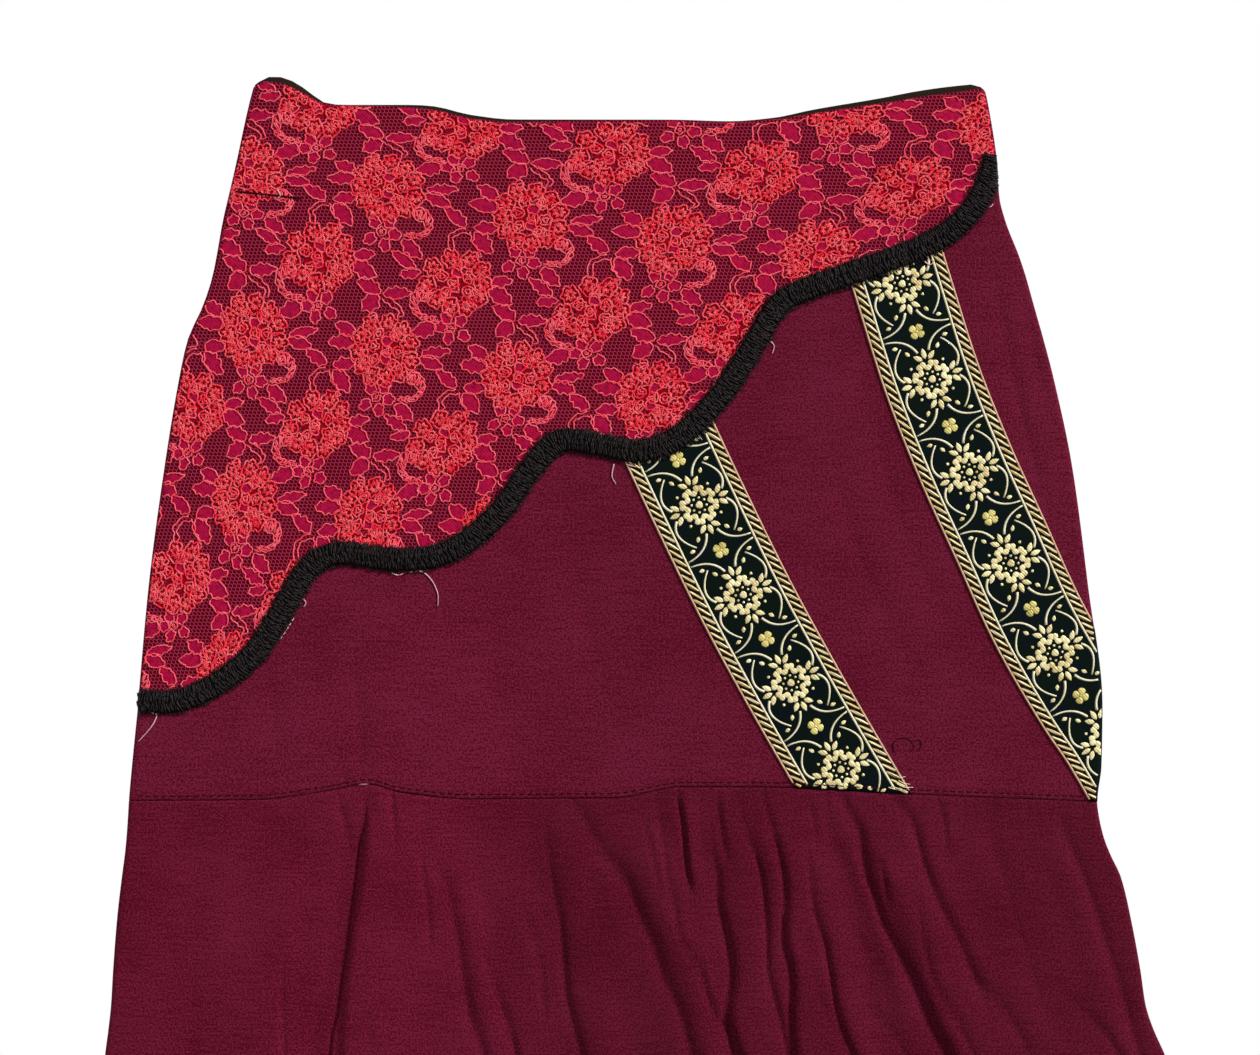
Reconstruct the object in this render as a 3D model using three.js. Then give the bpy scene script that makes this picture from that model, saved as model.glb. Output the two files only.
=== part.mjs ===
// A midi skirt in fine burgundy jersey, laid flat on its back and smoothed out by hand.
// A long fitted hip yoke carries a gathered, flaring lower tier. A corded lace overlay covers the
// yoke's front from the waist down to a slanting scalloped edge, a looped black braid covers that
// edge, and two woven ribbons run from the braid down to the yoke's seam, the outer one into the side.
// Sizes are millimetres: X to the right, Y from hem to waist, Z up from the surface it lies on.
import * as THREE from "three";

// Driving sizes.
const skirtLength = 780; // highest waist corner to lowest point of the hem
const jersey = 1.2; // wall of every knitted panel
const seamGap = 0.3; // between pieces that are sewn or lie on each other
const laceThick = 1.0;
const ribbonThick = 1.0;
const ribbonWidth = 48.5;
const ribbonStart = 2; // how far below the lace's edge the ribbons start, still under the braid
const braidWidth = 11.5;
const braidHeight = 2.1;
const yokeLoft = 0.6; // air between the panels at the middle
const foldLift = 3.0; // how far the tallest fold lifts the cloth
const foldPlies = 1.4; // how much thicker the doubled cloth of that fold is
const hemCurve = 16; // how much higher the hem is at its corners
const hemDrawUp = 4; // how much the tallest fold draws up the hem
const waistY = skirtLength / 2;

// Steps across the panels, the same above and below a seam, so that both sides share its line.
const frontSteps = 72;
const backSteps = 36;
const yokeSteps = 10; // down the yoke, front and back
const tierSteps = 10; // down the front tier
const backTierSteps = 6;
const [laceSteps, laceRows] = [48, 8]; // across the lace and down it
const [ribbonSteps, ribbonRows] = [4, 14]; // across a ribbon and along it
const braidSteps = 80; // along the braid
const crowding = 1.4; // the yoke's rows crowd towards the waist, where its side edges bend most

// Side edges, left and right of the middle, by how far down from the highest waist corner.
const sides = [
  { down: 0, left: -216, right: 147 },
  { down: 15, left: -220, right: 150.5 },
  { down: 45, left: -226.5, right: 155 },
  { down: 60, left: -230, right: 156 },
  { down: 72, left: -232.8, right: 159 },
  { down: 90, left: -236, right: 166 },
  { down: 100, left: -238, right: 169.3 },
  { down: 114, left: -242.5, right: 173.2 },
  { down: 132, left: -250.5, right: 178.3 },
  { down: 150, left: -254.5, right: 183 },
  { down: 195, left: -262, right: 192.5 },
  { down: 255, left: -270, right: 200.5 },
  { down: 315, left: -275.5, right: 207.5 },
  { down: 345, left: -278.5, right: 207 },
  { down: 362, left: -280, right: 205 },
  { down: 375, left: -280.8, right: 206.8 },
  { down: 387, left: -281.8, right: 210.5 },
  { down: 401, left: -283.6, right: 217 },
  { down: 422, left: -286, right: 222 },
  { down: 448, left: -288, right: 226.8 },
  { down: 465, left: -289, right: 229.3 },
  { down: 477, left: -290.3, right: 233.2 },
  { down: 490, left: -292, right: 239 },
  { down: 600, left: -302, right: 275 },
  { down: 764, left: -318.5, right: 318.5 },
];

// The waist sags between its corners. Its back edge shows a little above the front one.
const waist = [
  { across: 0, back: 4, shows: 1.5 },
  { across: 0.014, back: 0, shows: 2.5 },
  { across: 0.03, back: 0, shows: 3 },
  { across: 0.05, back: 2, shows: 3 },
  { across: 0.075, back: 7, shows: 2 },
  { across: 0.1, back: 12.7, shows: 0.8 },
  { across: 0.125, back: 14, shows: 0.5 },
  { across: 0.22, back: 14, shows: 1.5 },
  { across: 0.25, back: 14.7, shows: 2 },
  { across: 0.3, back: 18.9, shows: 2 },
  { across: 0.36, back: 21.3, shows: 1.5 },
  { across: 0.57, back: 21.4, shows: 0.7 },
  { across: 0.65, back: 22.2, shows: 0.7 },
  { across: 0.71, back: 20.4, shows: 1.2 },
  { across: 0.76, back: 16.6, shows: 2 },
  { across: 0.86, back: 10.4, shows: 2.8 },
  { across: 0.91, back: 7, shows: 3.3 },
  { across: 0.96, back: 4.6, shows: 3.4 },
  { across: 0.99, back: 3.7, shows: 2.5 },
  { across: 1, back: 6.5, shows: 1 },
];

// The seam between yoke and tier lifts where pleats are caught in it.
const seam = [
  { across: 0, down: 362.5 },
  { across: 0.13, down: 362 },
  { across: 0.21, down: 357 },
  { across: 0.245, down: 354 },
  { across: 0.28, down: 358 },
  { across: 0.35, down: 361.5 },
  { across: 0.5, down: 361 },
  { across: 0.57, down: 355.5 },
  { across: 0.64, down: 355.5 },
  { across: 0.8, down: 359 },
  { across: 1, down: 363 },
];

// The scalloped edge of the lace, which is the braid's middle line, from the left side to the right.
const scallops = [
  { x: -275, y: 77.5 },
  { x: -254, y: 78 },
  { x: -234, y: 87 },
  { x: -216, y: 102 },
  { x: -202, y: 124 },
  { x: -189, y: 144.5 },
  { x: -174, y: 151.5 },
  { x: -154, y: 149 },
  { x: -134, y: 148.5 },
  { x: -114, y: 155 },
  { x: -94, y: 172 },
  { x: -79, y: 193 },
  { x: -64.5, y: 207.5 },
  { x: -44, y: 205.5 },
  { x: -24, y: 202.5 },
  { x: -4, y: 210 },
  { x: 16, y: 230 },
  { x: 31, y: 252.5 },
  { x: 44, y: 274 },
  { x: 56, y: 282 },
  { x: 81, y: 291 },
  { x: 106, y: 300 },
  { x: 126, y: 309 },
  { x: 140, y: 321 },
  { x: 149.5, y: 336 },
  { x: 153, y: 350 },
];

// Middle lines of the two woven ribbons, from under the braid to past the yoke's seam.
const centreRibbon = [
  { down: 173, x: -14 },
  { down: 212, x: 4.3 },
  { down: 262, x: 28.8 },
  { down: 302, x: 50.5 },
  { down: 342, x: 73.5 },
  { down: 380, x: 96 },
];
const sideRibbon = [
  { down: 68, x: 96 },
  { down: 112, x: 109.3 },
  { down: 152, x: 122 },
  { down: 192, x: 137.8 },
  { down: 232, x: 156 },
  { down: 272, x: 174.3 },
  { down: 312, x: 197.5 },
  { down: 332, x: 211 },
  { down: 380, x: 238 },
];

// Folds of the tier: how far across the tier each crest lies at the seam, a third of the way down and at
// the hem, its width as a share of the tier's width, its lift as a share of the tallest, how far its
// crest leans to its left (-1) or right (1) edge, and the shares of the tier's height where it starts
// and ends, 2 for past the hem.
const folds = [
  { seam: 0.03, third: 0.03, hem: 0.03, width: 0.05, lift: 0.35, lean: 0, starts: 0.02, ends: 2 },
  { seam: 0.1, third: 0.105, hem: 0.09, width: 0.08, lift: 0.3, lean: 0.2, starts: 0.1, ends: 2 },
  { seam: 0.17, third: 0.158, hem: 0.15, width: 0.04, lift: 0.4, lean: 0.3, starts: 0.06, ends: 2 },
  { seam: 0.259, third: 0.231, hem: 0.222, width: 0.055, lift: 1, lean: -0.75, starts: -0.04, ends: 2 },
  { seam: 0.32, third: 0.368, hem: 0.4, width: 0.03, lift: 0.5, lean: 0.2, starts: 0.04, ends: 2 },
  { seam: 0.383, third: 0.417, hem: 0.455, width: 0.042, lift: 0.5, lean: 0.1, starts: 0.05, ends: 2 },
  { seam: 0.445, third: 0.476, hem: 0.515, width: 0.036, lift: 0.65, lean: 0.2, starts: 0, ends: 2 },
  { seam: 0.53, third: 0.566, hem: 0.585, width: 0.05, lift: 0.8, lean: 0.3, starts: 0, ends: 2 },
  { seam: 0.618, third: 0.626, hem: 0.645, width: 0.035, lift: 0.7, lean: 0.2, starts: 0, ends: 2 },
  { seam: 0.69, third: 0.71, hem: 0.74, width: 0.062, lift: 0.9, lean: 0.5, starts: 0, ends: 2 },
  { seam: 0.752, third: 0.812, hem: 0.835, width: 0.045, lift: 0.8, lean: -0.3, starts: 0.02, ends: 2 },
  { seam: 0.86, third: 0.89, hem: 0.91, width: 0.07, lift: 0.65, lean: 0.3, starts: 0.03, ends: 2 },
  { seam: 0.94, third: 0.962, hem: 0.97, width: 0.04, lift: 0.5, lean: 0.2, starts: 0, ends: 2 },
  { seam: 0.475, third: 0.5, hem: 0.53, width: 0.025, lift: 0.4, lean: 0, starts: 0, ends: 0.3 },
  { seam: 0.57, third: 0.585, hem: 0.6, width: 0.018, lift: 0.45, lean: 0, starts: 0, ends: 0.25 },
  { seam: 0.655, third: 0.665, hem: 0.71, width: 0.018, lift: 0.4, lean: 0, starts: 0, ends: 0.3 },
  { seam: 0.727, third: 0.77, hem: 0.79, width: 0.018, lift: 0.45, lean: 0, starts: 0, ends: 0.35 },
  { seam: 0.8, third: 0.84, hem: 0.86, width: 0.03, lift: 0.4, lean: 0, starts: 0, ends: 0.4 },
  { seam: 0.9, third: 0.925, hem: 0.93, width: 0.025, lift: 0.35, lean: 0, starts: 0.02, ends: 0.5 },
];

// Low swells of the yoke: middle, reach across and down as shares of the panel, and height.
const swells = [
  { across: 0.26, down: 1, reachAcross: 0.06, reachDown: 0.22, height: 0.9 },
  { across: 0.08, down: 0.75, reachAcross: 0.08, reachDown: 0.4, height: 0.4 },
  { across: 0.6, down: 1, reachAcross: 0.1, reachDown: 0.12, height: 0.5 },
  { across: 0.93, down: 0.45, reachAcross: 0.05, reachDown: 0.4, height: 0.5 },
];

const { lerp, smoothstep, clamp } = THREE.MathUtils;

// A smooth curve through a table's rows that never swings past them.
function through(rows, at, value) {
  const steps = rows.slice(1).map((row, i) => (row[value] - rows[i][value]) / (row[at] - rows[i][at]));
  const slopes = rows.map((row, i) => {
    const before = steps[i - 1] ?? steps[0];
    const after = steps[i] ?? steps[steps.length - 1];
    return before * after > 0 ? (2 * before * after) / (before + after) : 0;
  });
  return (place) => {
    const p = clamp(place, rows[0][at], rows[rows.length - 1][at]);
    let i = rows.findIndex((row) => row[at] > p) - 1;
    if (i < 0) i = rows.length - 2;
    const span = rows[i + 1][at] - rows[i][at];
    const t = (p - rows[i][at]) / span;
    const rise = rows[i + 1][value] - rows[i][value];
    const bend = t * (1 - t) * span;
    const eased = rows[i][value] + rise * t * t * (3 - 2 * t);
    return eased + bend * ((1 - t) * slopes[i] - t * slopes[i + 1]);
  };
}

const leftSide = through(sides, "down", "left");
const rightSide = through(sides, "down", "right");
const backWaistDown = through(waist, "across", "back");
const backShows = through(waist, "across", "shows");
const waistDown = (across) => backWaistDown(across) + backShows(across);
const seamDown = through(seam, "across", "down");
const hemDown = (across) => skirtLength - hemCurve * (2 * across - 1) ** 2;

// A place on the garment's flat outline.
function placeAt(across, down) {
  return { x: lerp(leftSide(down), rightSide(down), across), y: waistY - down };
}

// The same place the other way round: shares across and down the yoke from X and Y.
function yokeShares(x, y) {
  const down = waistY - y;
  const across = (x - leftSide(down)) / (rightSide(down) - leftSide(down));
  const top = waistDown(across);
  return { across, down: (down - top) / (seamDown(across) - top) };
}

const loft = (across) => yokeLoft * Math.sin(Math.PI * clamp(across, 0, 1));

// Underside of the front panels where they lie on the back ones.
const restHeight = jersey + seamGap;

function yokeUnder(across, down) {
  let height = restHeight + loft(across);
  for (const s of swells) {
    const far = ((across - s.across) / s.reachAcross) ** 2 + ((down - s.down) / s.reachDown) ** 2;
    height += s.height * Math.exp(-far);
  }
  return height;
}

const yokeTop = (across, down) => yokeUnder(across, down) + jersey;

function yokeTopAt(x, y) {
  const { across, down } = yokeShares(x, y);
  return yokeTop(clamp(across, 0, 1), clamp(down, 0, 1));
}

const foldFade = 0.1; // share of the tier's height over which a fold rises
const thirdDown = 0.31; // share of the tier's height at which the folds' middle places lie

// How far across the tier each fold's crest lies, by the share of the way down.
const crests = folds.map((f) => {
  const rows = [{ down: 0, across: f.seam }, { down: thirdDown, across: f.third }, { down: 1, across: f.hem }];
  return through(rows, "down", "across");
});

// How strongly the tier is folded at a place, from 0 between folds to 1 on the tallest crest.
function foldAt(across, down) {
  let flat = 1;
  for (const [i, f] of folds.entries()) {
    const off = (across - crests[i](down)) / f.width;
    const share = Math.abs(off) / (off < 0 ? 1 + f.lean : 1 - f.lean);
    if (share >= 1) continue;
    const crest = Math.cos((Math.PI / 2) * share) ** 2;
    const fadeIn = smoothstep(down, f.starts, f.starts + foldFade);
    const fadeOut = 1 - smoothstep(down, f.ends / 2, f.ends); // an end of 2 is never felt
    flat *= 1 - f.lift * crest * fadeIn * fadeOut;
  }
  return 1 - flat;
}

// A closed wall between two surfaces, each given as a point for shares across and down.
function wall(columns, rows, outer, inner) {
  const points = [];
  const faces = [];
  const perSide = (columns + 1) * (rows + 1);
  const at = (side, i, j) => side * perSide + j * (columns + 1) + i;
  for (const surface of [outer, inner]) {
    for (let j = 0; j <= rows; j++) {
      for (let i = 0; i <= columns; i++) points.push(...surface(i / columns, j / rows));
    }
  }
  const quad = (a, b, c, d) => faces.push(a, b, c, a, c, d);
  for (let j = 0; j < rows; j++) {
    for (let i = 0; i < columns; i++) {
      quad(at(0, i, j), at(0, i, j + 1), at(0, i + 1, j + 1), at(0, i + 1, j));
      quad(at(1, i, j), at(1, i + 1, j), at(1, i + 1, j + 1), at(1, i, j + 1));
    }
  }
  for (let i = 0; i < columns; i++) {
    quad(at(0, i, 0), at(0, i + 1, 0), at(1, i + 1, 0), at(1, i, 0));
    quad(at(0, i, rows), at(1, i, rows), at(1, i + 1, rows), at(0, i + 1, rows));
  }
  for (let j = 0; j < rows; j++) {
    quad(at(0, 0, j), at(1, 0, j), at(1, 0, j + 1), at(0, 0, j + 1));
    quad(at(0, columns, j), at(0, columns, j + 1), at(1, columns, j + 1), at(1, columns, j));
  }
  const geometry = new THREE.BufferGeometry();
  geometry.setAttribute("position", new THREE.Float32BufferAttribute(points, 3));
  geometry.setIndex(faces);
  geometry.computeVertexNormals();
  return geometry;
}

// A panel cut between an upper and a lower edge line, with its top and underside as heights.
// Its rows crowd towards the upper line where a share of the way down is raised to a power above 1.
function panel({ upper, lower, columns, rows, power = 1, top, under }) {
  const surface = (height) => (across, step) => {
    const share = step ** power;
    const { x, y } = placeAt(across, lerp(upper(across), lower(across), share));
    return [x, y, height(across, share)];
  };
  return wall(columns, rows, surface(top), surface(under));
}

const aboveSeam = (across) => seamDown(across) - seamGap / 2;
const belowSeam = (across) => seamDown(across) + seamGap / 2;
const lyingFlat = { top: () => jersey, under: () => 0 };

function backYoke() {
  const edges = { upper: backWaistDown, lower: aboveSeam };
  return panel({ ...edges, columns: backSteps, rows: yokeSteps, power: crowding, ...lyingFlat });
}

function backTier() {
  const edges = { upper: belowSeam, lower: hemDown };
  return panel({ ...edges, columns: backSteps, rows: backTierSteps, ...lyingFlat });
}

function frontYoke() {
  const edges = { upper: waistDown, lower: aboveSeam };
  const heights = { top: yokeTop, under: yokeUnder };
  return panel({ ...edges, columns: frontSteps, rows: yokeSteps, power: crowding, ...heights });
}

// The front tier hangs in folds from the seam, and its hem draws up a little over each fold.
function frontTier() {
  const easing = 0.2; // share of its height over which the tier leaves the seam's height
  const foldedHem = (across) => hemDown(across) - hemDrawUp * foldAt(across, 1);
  const lifted = (lift, thick) => (across, share) => {
    const seamHeight = yokeUnder(across, 1) - restHeight;
    const rest = restHeight + lerp(seamHeight, loft(across), smoothstep(share, 0, easing));
    return rest + lift * foldAt(across, share) + thick;
  };
  const heights = { top: lifted(foldLift + foldPlies, jersey), under: lifted(foldLift, 0) };
  const edges = { upper: belowSeam, lower: foldedHem };
  return panel({ ...edges, columns: frontSteps, rows: tierSteps, ...heights });
}

// The scalloped line as a curve, and its height above any X.
const scallopCurve = new THREE.SplineCurve(scallops.map((p) => new THREE.Vector2(p.x, p.y)));
const scallopSteps = 400; // about 1.5 mm each
const scallopLine = scallopCurve.getSpacedPoints(scallopSteps);

function scallopY(x) {
  const next = scallopLine.findIndex((p) => p.x > x);
  if (next < 0) return scallopLine[scallopLine.length - 1].y;
  if (next === 0) return scallopLine[0].y;
  const [a, b] = [scallopLine[next - 1], scallopLine[next]];
  return lerp(a.y, b.y, (x - a.x) / (b.x - a.x));
}

// The first place down a column, between two heights, where a test of its point begins to hold.
function firstDown(from, to, point, holds) {
  const halvings = 30;
  let [before, after] = [from, to];
  for (let k = 0; k < halvings; k++) {
    const middle = (before + after) / 2;
    if (holds(point(middle))) after = middle;
    else before = middle;
  }
  return after;
}

// The lace covers the yoke from the waist down to the scalloped line.
function laceOverlay() {
  const surface = (out) => (across, step) => {
    const [top, bottom] = [waistDown(across), seamDown(across)];
    const column = (down) => placeAt(across, down);
    const edge = firstDown(top, bottom, column, (p) => p.y < scallopY(p.x));
    const down = lerp(top, edge, step ** crowding);
    const { x, y } = column(down);
    return [x, y, yokeTop(across, (down - top) / (bottom - top)) + out];
  };
  return wall(laceSteps, laceRows, surface(seamGap + laceThick), surface(seamGap));
}

// The braid has two rows of loops beside each other, so its section has two low humps.
const braidSection = [
  { off: -0.5, high: 0.5 },
  { off: -0.25, high: 1 },
  { off: 0, high: 0.8 },
  { off: 0.25, high: 1 },
  { off: 0.5, high: 0.5 },
];

// The braid follows the scalloped line over the lace and the ribbons' ends. It is cut off along the
// side edges, where its rows keep a hair's breadth between them.
function scallopBraid() {
  const base = seamGap + laceThick + seamGap;
  const surface = (height) => (along, across) => {
    const middle = scallopCurve.getPointAt(along);
    const way = scallopCurve.getTangentAt(along);
    const row = braidSection[Math.round(across * (braidSection.length - 1))];
    const x = middle.x + way.y * row.off * braidWidth;
    const y = middle.y - way.x * row.off * braidWidth;
    const down = waistY - y;
    const kept = clamp(x, leftSide(down), rightSide(down) + row.off);
    return [kept, y, yokeTopAt(kept, y) + base + row.high * height];
  };
  return wall(braidSteps, braidSection.length - 1, surface(braidHeight), surface(0));
}

// A ribbon follows its middle line. Its ends are cut along the scalloped line and the yoke's seam,
// and where it would pass the side edge it is caught in the side seam.
function ribbon(line) {
  const middle = through(line, "down", "x");
  const [top, bottom] = [line[0].down, line[line.length - 1].down];
  const slope = (down) => middle(down + 0.5) - middle(down - 0.5); // sideways for each mm down
  const place = (share, down) => {
    const half = (ribbonWidth / 2) * Math.hypot(1, slope(down));
    const right = Math.min(middle(down) + half, rightSide(down));
    return { x: lerp(middle(down) - half, right, share), y: waistY - down };
  };
  const pastBraid = (p) => p.y < scallopY(p.x) - ribbonStart;
  const pastYoke = (p) => waistY - p.y > aboveSeam(yokeShares(p.x, p.y).across);
  const surface = (out) => (share, along) => {
    const column = (down) => place(share, down);
    const start = firstDown(top, bottom, column, pastBraid);
    const end = firstDown(start, bottom, column, pastYoke);
    const { x, y } = column(lerp(start, end, along));
    return [x, y, yokeTopAt(x, y) + out];
  };
  return wall(ribbonSteps, ribbonRows, surface(seamGap + ribbonThick), surface(seamGap));
}

const burgundyJersey = new THREE.MeshStandardMaterial({ color: "#64172d", roughness: 0.9, metalness: 0 });
const redLace = new THREE.MeshStandardMaterial({ color: "#c22338", roughness: 0.75, metalness: 0 });
const blackBraid = new THREE.MeshStandardMaterial({ color: "#16100f", roughness: 0.6, metalness: 0 });
const goldRibbon = new THREE.MeshStandardMaterial({ color: "#8f7c45", roughness: 0.5, metalness: 0.4 });

const skirt = new THREE.Group();
const pieces = [
  { name: "back_yoke", geometry: backYoke(), material: burgundyJersey },
  { name: "back_tier", geometry: backTier(), material: burgundyJersey },
  { name: "front_yoke", geometry: frontYoke(), material: burgundyJersey },
  { name: "front_tier", geometry: frontTier(), material: burgundyJersey },
  { name: "lace_overlay", geometry: laceOverlay(), material: redLace },
  { name: "scallop_braid", geometry: scallopBraid(), material: blackBraid },
  { name: "ribbon_centre", geometry: ribbon(centreRibbon), material: goldRibbon },
  { name: "ribbon_side", geometry: ribbon(sideRibbon), material: goldRibbon },
];
for (const { name, geometry, material } of pieces) {
  const mesh = new THREE.Mesh(geometry, material);
  mesh.name = name;
  skirt.add(mesh);
}

export default skirt;
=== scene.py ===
# A midi skirt in burgundy jersey, laid flat: a long hip yoke with a gathered lower tier, a corded lace
# overlay down to a scalloped edge, a looped black braid on that edge, and two woven ribbons.
# Lengths are millimetres until a mesh is made: X to the right, Y from hem to waist, Z up from the floor.
# Places on the skirt are often given as x and how far down from the highest corner of the waist.
import bpy
import numpy as np
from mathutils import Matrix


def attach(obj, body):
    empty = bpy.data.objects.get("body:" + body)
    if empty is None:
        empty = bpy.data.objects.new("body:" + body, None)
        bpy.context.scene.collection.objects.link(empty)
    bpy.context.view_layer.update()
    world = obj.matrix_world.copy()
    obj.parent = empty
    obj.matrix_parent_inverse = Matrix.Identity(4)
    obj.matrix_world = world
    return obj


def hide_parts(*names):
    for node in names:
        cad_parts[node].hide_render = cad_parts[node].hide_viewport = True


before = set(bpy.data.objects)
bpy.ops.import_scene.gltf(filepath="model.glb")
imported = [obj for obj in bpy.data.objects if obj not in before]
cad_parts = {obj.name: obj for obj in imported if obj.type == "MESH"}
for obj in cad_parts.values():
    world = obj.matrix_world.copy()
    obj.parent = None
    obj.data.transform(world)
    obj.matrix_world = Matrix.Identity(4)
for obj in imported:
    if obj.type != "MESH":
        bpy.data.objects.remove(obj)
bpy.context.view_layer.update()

scene = bpy.context.scene
print("frame loaded")

# Sizes shared by all pieces, the same as the solids'.
garment = {
    "length": 780,
    "waistY": 390,
    "wall": 1.2,  # the solids' wall; the jersey itself is thinner
    "jersey": 0.8,
    "gap": 0.3,
    "loft": 0.6,  # air between the panels at the middle
    "foldRise": 4.4,  # top of the tallest fold above the cloth beside it
    "hemCurve": 16,
    "hemDrawUp": 4,
    "sideRound": 3.0,  # width over which the front rolls down to the side seam
    "stitchesAt": 2.4,  # topstitching above the yoke's seam
    "stitchPitch": 4,
    "allowanceAt": 5,  # middle of the seam allowance folded up behind the yoke
}

# Side edges: how far down, left edge, right edge.
sides = np.array([
    (0, -216, 147), (15, -220, 150.5), (45, -226.5, 155), (60, -230, 156), (72, -232.8, 159),
    (90, -236, 166), (100, -238, 169.3), (114, -242.5, 173.2), (132, -250.5, 178.3), (150, -254.5, 183),
    (195, -262, 192.5), (255, -270, 200.5), (315, -275.5, 207.5), (345, -278.5, 207), (362, -280, 205),
    (375, -280.8, 206.8), (387, -281.8, 210.5), (401, -283.6, 217), (422, -286, 222),
    (448, -288, 226.8), (465, -289, 229.3), (477, -290.3, 233.2), (490, -292, 239), (600, -302, 275),
    (764, -318.5, 318.5),
])
# Waist: share across, how far down the back edge lies, how much of it shows above the front edge.
waist = np.array([
    (0, 4, 1.5), (0.014, 0, 2.5), (0.03, 0, 3), (0.05, 2, 3), (0.075, 7, 2), (0.1, 12.7, 0.8),
    (0.125, 14, 0.5), (0.22, 14, 1.5), (0.25, 14.7, 2), (0.3, 18.9, 2), (0.36, 21.3, 1.5),
    (0.57, 21.4, 0.7), (0.65, 22.2, 0.7), (0.71, 20.4, 1.2), (0.76, 16.6, 2), (0.86, 10.4, 2.8),
    (0.91, 7, 3.3), (0.96, 4.6, 3.4), (0.99, 3.7, 2.5), (1, 6.5, 1),
])
# Seam between yoke and tier: share across, how far down.
seam = np.array([
    (0, 362.5), (0.13, 362), (0.21, 357), (0.245, 354), (0.28, 358), (0.35, 361.5), (0.5, 361),
    (0.57, 355.5), (0.64, 355.5), (0.8, 359), (1, 363),
])
# Scalloped edge of the lace, from the left side to the right: x, y.
scallops = np.array([
    (-275, 77.5), (-254, 78), (-234, 87), (-216, 102), (-202, 124), (-189, 144.5), (-174, 151.5),
    (-154, 149), (-134, 148.5), (-114, 155), (-94, 172), (-79, 193), (-64.5, 207.5), (-44, 205.5),
    (-24, 202.5), (-4, 210), (16, 230), (31, 252.5), (44, 274), (56, 282), (81, 291), (106, 300),
    (126, 309), (140, 321), (149.5, 336), (153, 350),
])
# Folds of the tier: share across at the seam, a third of the way down and at the hem, width, lift,
# lean of the crest, and the shares of the height where it starts and ends.
folds = [
    (0.03, 0.03, 0.03, 0.05, 0.35, 0, 0.02, 2), (0.1, 0.105, 0.09, 0.08, 0.3, 0.2, 0.1, 2),
    (0.17, 0.158, 0.15, 0.04, 0.4, 0.3, 0.06, 2), (0.259, 0.231, 0.222, 0.055, 1, -0.75, -0.04, 2),
    (0.32, 0.368, 0.4, 0.03, 0.5, 0.2, 0.04, 2), (0.383, 0.417, 0.455, 0.042, 0.5, 0.1, 0.05, 2),
    (0.445, 0.476, 0.515, 0.036, 0.65, 0.2, 0, 2), (0.53, 0.566, 0.585, 0.05, 0.8, 0.3, 0, 2),
    (0.618, 0.626, 0.645, 0.035, 0.7, 0.2, 0, 2), (0.69, 0.71, 0.74, 0.062, 0.9, 0.5, 0, 2),
    (0.752, 0.812, 0.835, 0.045, 0.8, -0.3, 0.02, 2), (0.86, 0.89, 0.91, 0.07, 0.65, 0.3, 0.03, 2),
    (0.94, 0.962, 0.97, 0.04, 0.5, 0.2, 0, 2), (0.475, 0.5, 0.53, 0.025, 0.4, 0, 0, 0.3),
    (0.57, 0.585, 0.6, 0.018, 0.45, 0, 0, 0.25), (0.655, 0.665, 0.71, 0.018, 0.4, 0, 0, 0.3),
    (0.727, 0.77, 0.79, 0.018, 0.45, 0, 0, 0.35), (0.8, 0.84, 0.86, 0.03, 0.4, 0, 0, 0.4),
    (0.9, 0.925, 0.93, 0.025, 0.35, 0, 0.02, 0.5),
]
thirdDown = 0.31
# Low swells of the yoke: share across and down, reach across and down, height.
swells = [
    (0.26, 1, 0.06, 0.22, 0.9), (0.08, 0.75, 0.08, 0.4, 0.4), (0.6, 1, 0.1, 0.12, 0.5),
    (0.93, 0.45, 0.05, 0.4, 0.5),
]


def lerp(a, b, share):
    return a + (b - a) * share


def smoothstep(value, low, high):
    t = np.clip((value - low) / (high - low), 0, 1)
    return t * t * (3 - 2 * t)


# A quarter circle from 0 at an edge to 1 at a distance of reach from it.
def rollOff(distance, reach):
    return np.sqrt(1 - (1 - np.clip(distance / reach, 0, 1)) ** 2)


# A smooth curve through a table that never swings past its rows: a cubic for each stretch, with the
# harmonic mean of the slopes on both sides as its end slope.
def through(places, values):
    places, values = np.asarray(places, float), np.asarray(values, float)
    spans, rises = np.diff(places), np.diff(values)
    steps = rises / spans
    before, after = np.append(steps[0], steps), np.append(steps, steps[-1])
    bends = before * after > 0
    slopes = np.where(bends, 2 * before * after / np.where(bends, before + after, 1), 0)

    def curve(at):
        at = np.clip(at, places[0], places[-1])
        i = np.clip(np.searchsorted(places, at, side="right") - 1, 0, len(spans) - 1)
        t = (at - places[i]) / spans[i]
        eased = values[i] + rises[i] * t * t * (3 - 2 * t)
        return eased + t * (1 - t) * spans[i] * ((1 - t) * slopes[i] - t * slopes[i + 1])

    return curve


# The same through the first two columns of a table.
def throughRows(rows):
    rows = np.array(rows, float)
    return through(rows[:, 0], rows[:, 1])


# How far along a line of points each of them lies.
def distances(line):
    return np.append(0, np.cumsum(np.linalg.norm(np.diff(line, axis=0), axis=1)))


# A curve through given points, each stretch a Catmull-Rom cubic, as evenly spaced points.
def smoothLine(points, count):
    points = np.asarray(points, float)
    fine = np.linspace(0, len(points) - 1, 40 * len(points))
    i = np.minimum(fine.astype(int), len(points) - 2)
    t = (fine - i)[:, None]
    p0, p1 = points[np.maximum(i - 1, 0)], points[i]
    p2, p3 = points[i + 1], points[np.minimum(i + 2, len(points) - 1)]
    v0, v1 = (p2 - p0) / 2, (p3 - p1) / 2
    line = (2 * p1 - 2 * p2 + v0 + v1) * t**3 + (3 * p2 - 3 * p1 - 2 * v0 - v1) * t**2 + v0 * t + p1
    far = distances(line)
    even = np.linspace(0, far[-1], count)
    return np.stack([np.interp(even, far, line[:, k]) for k in range(points.shape[1])], -1)


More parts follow.
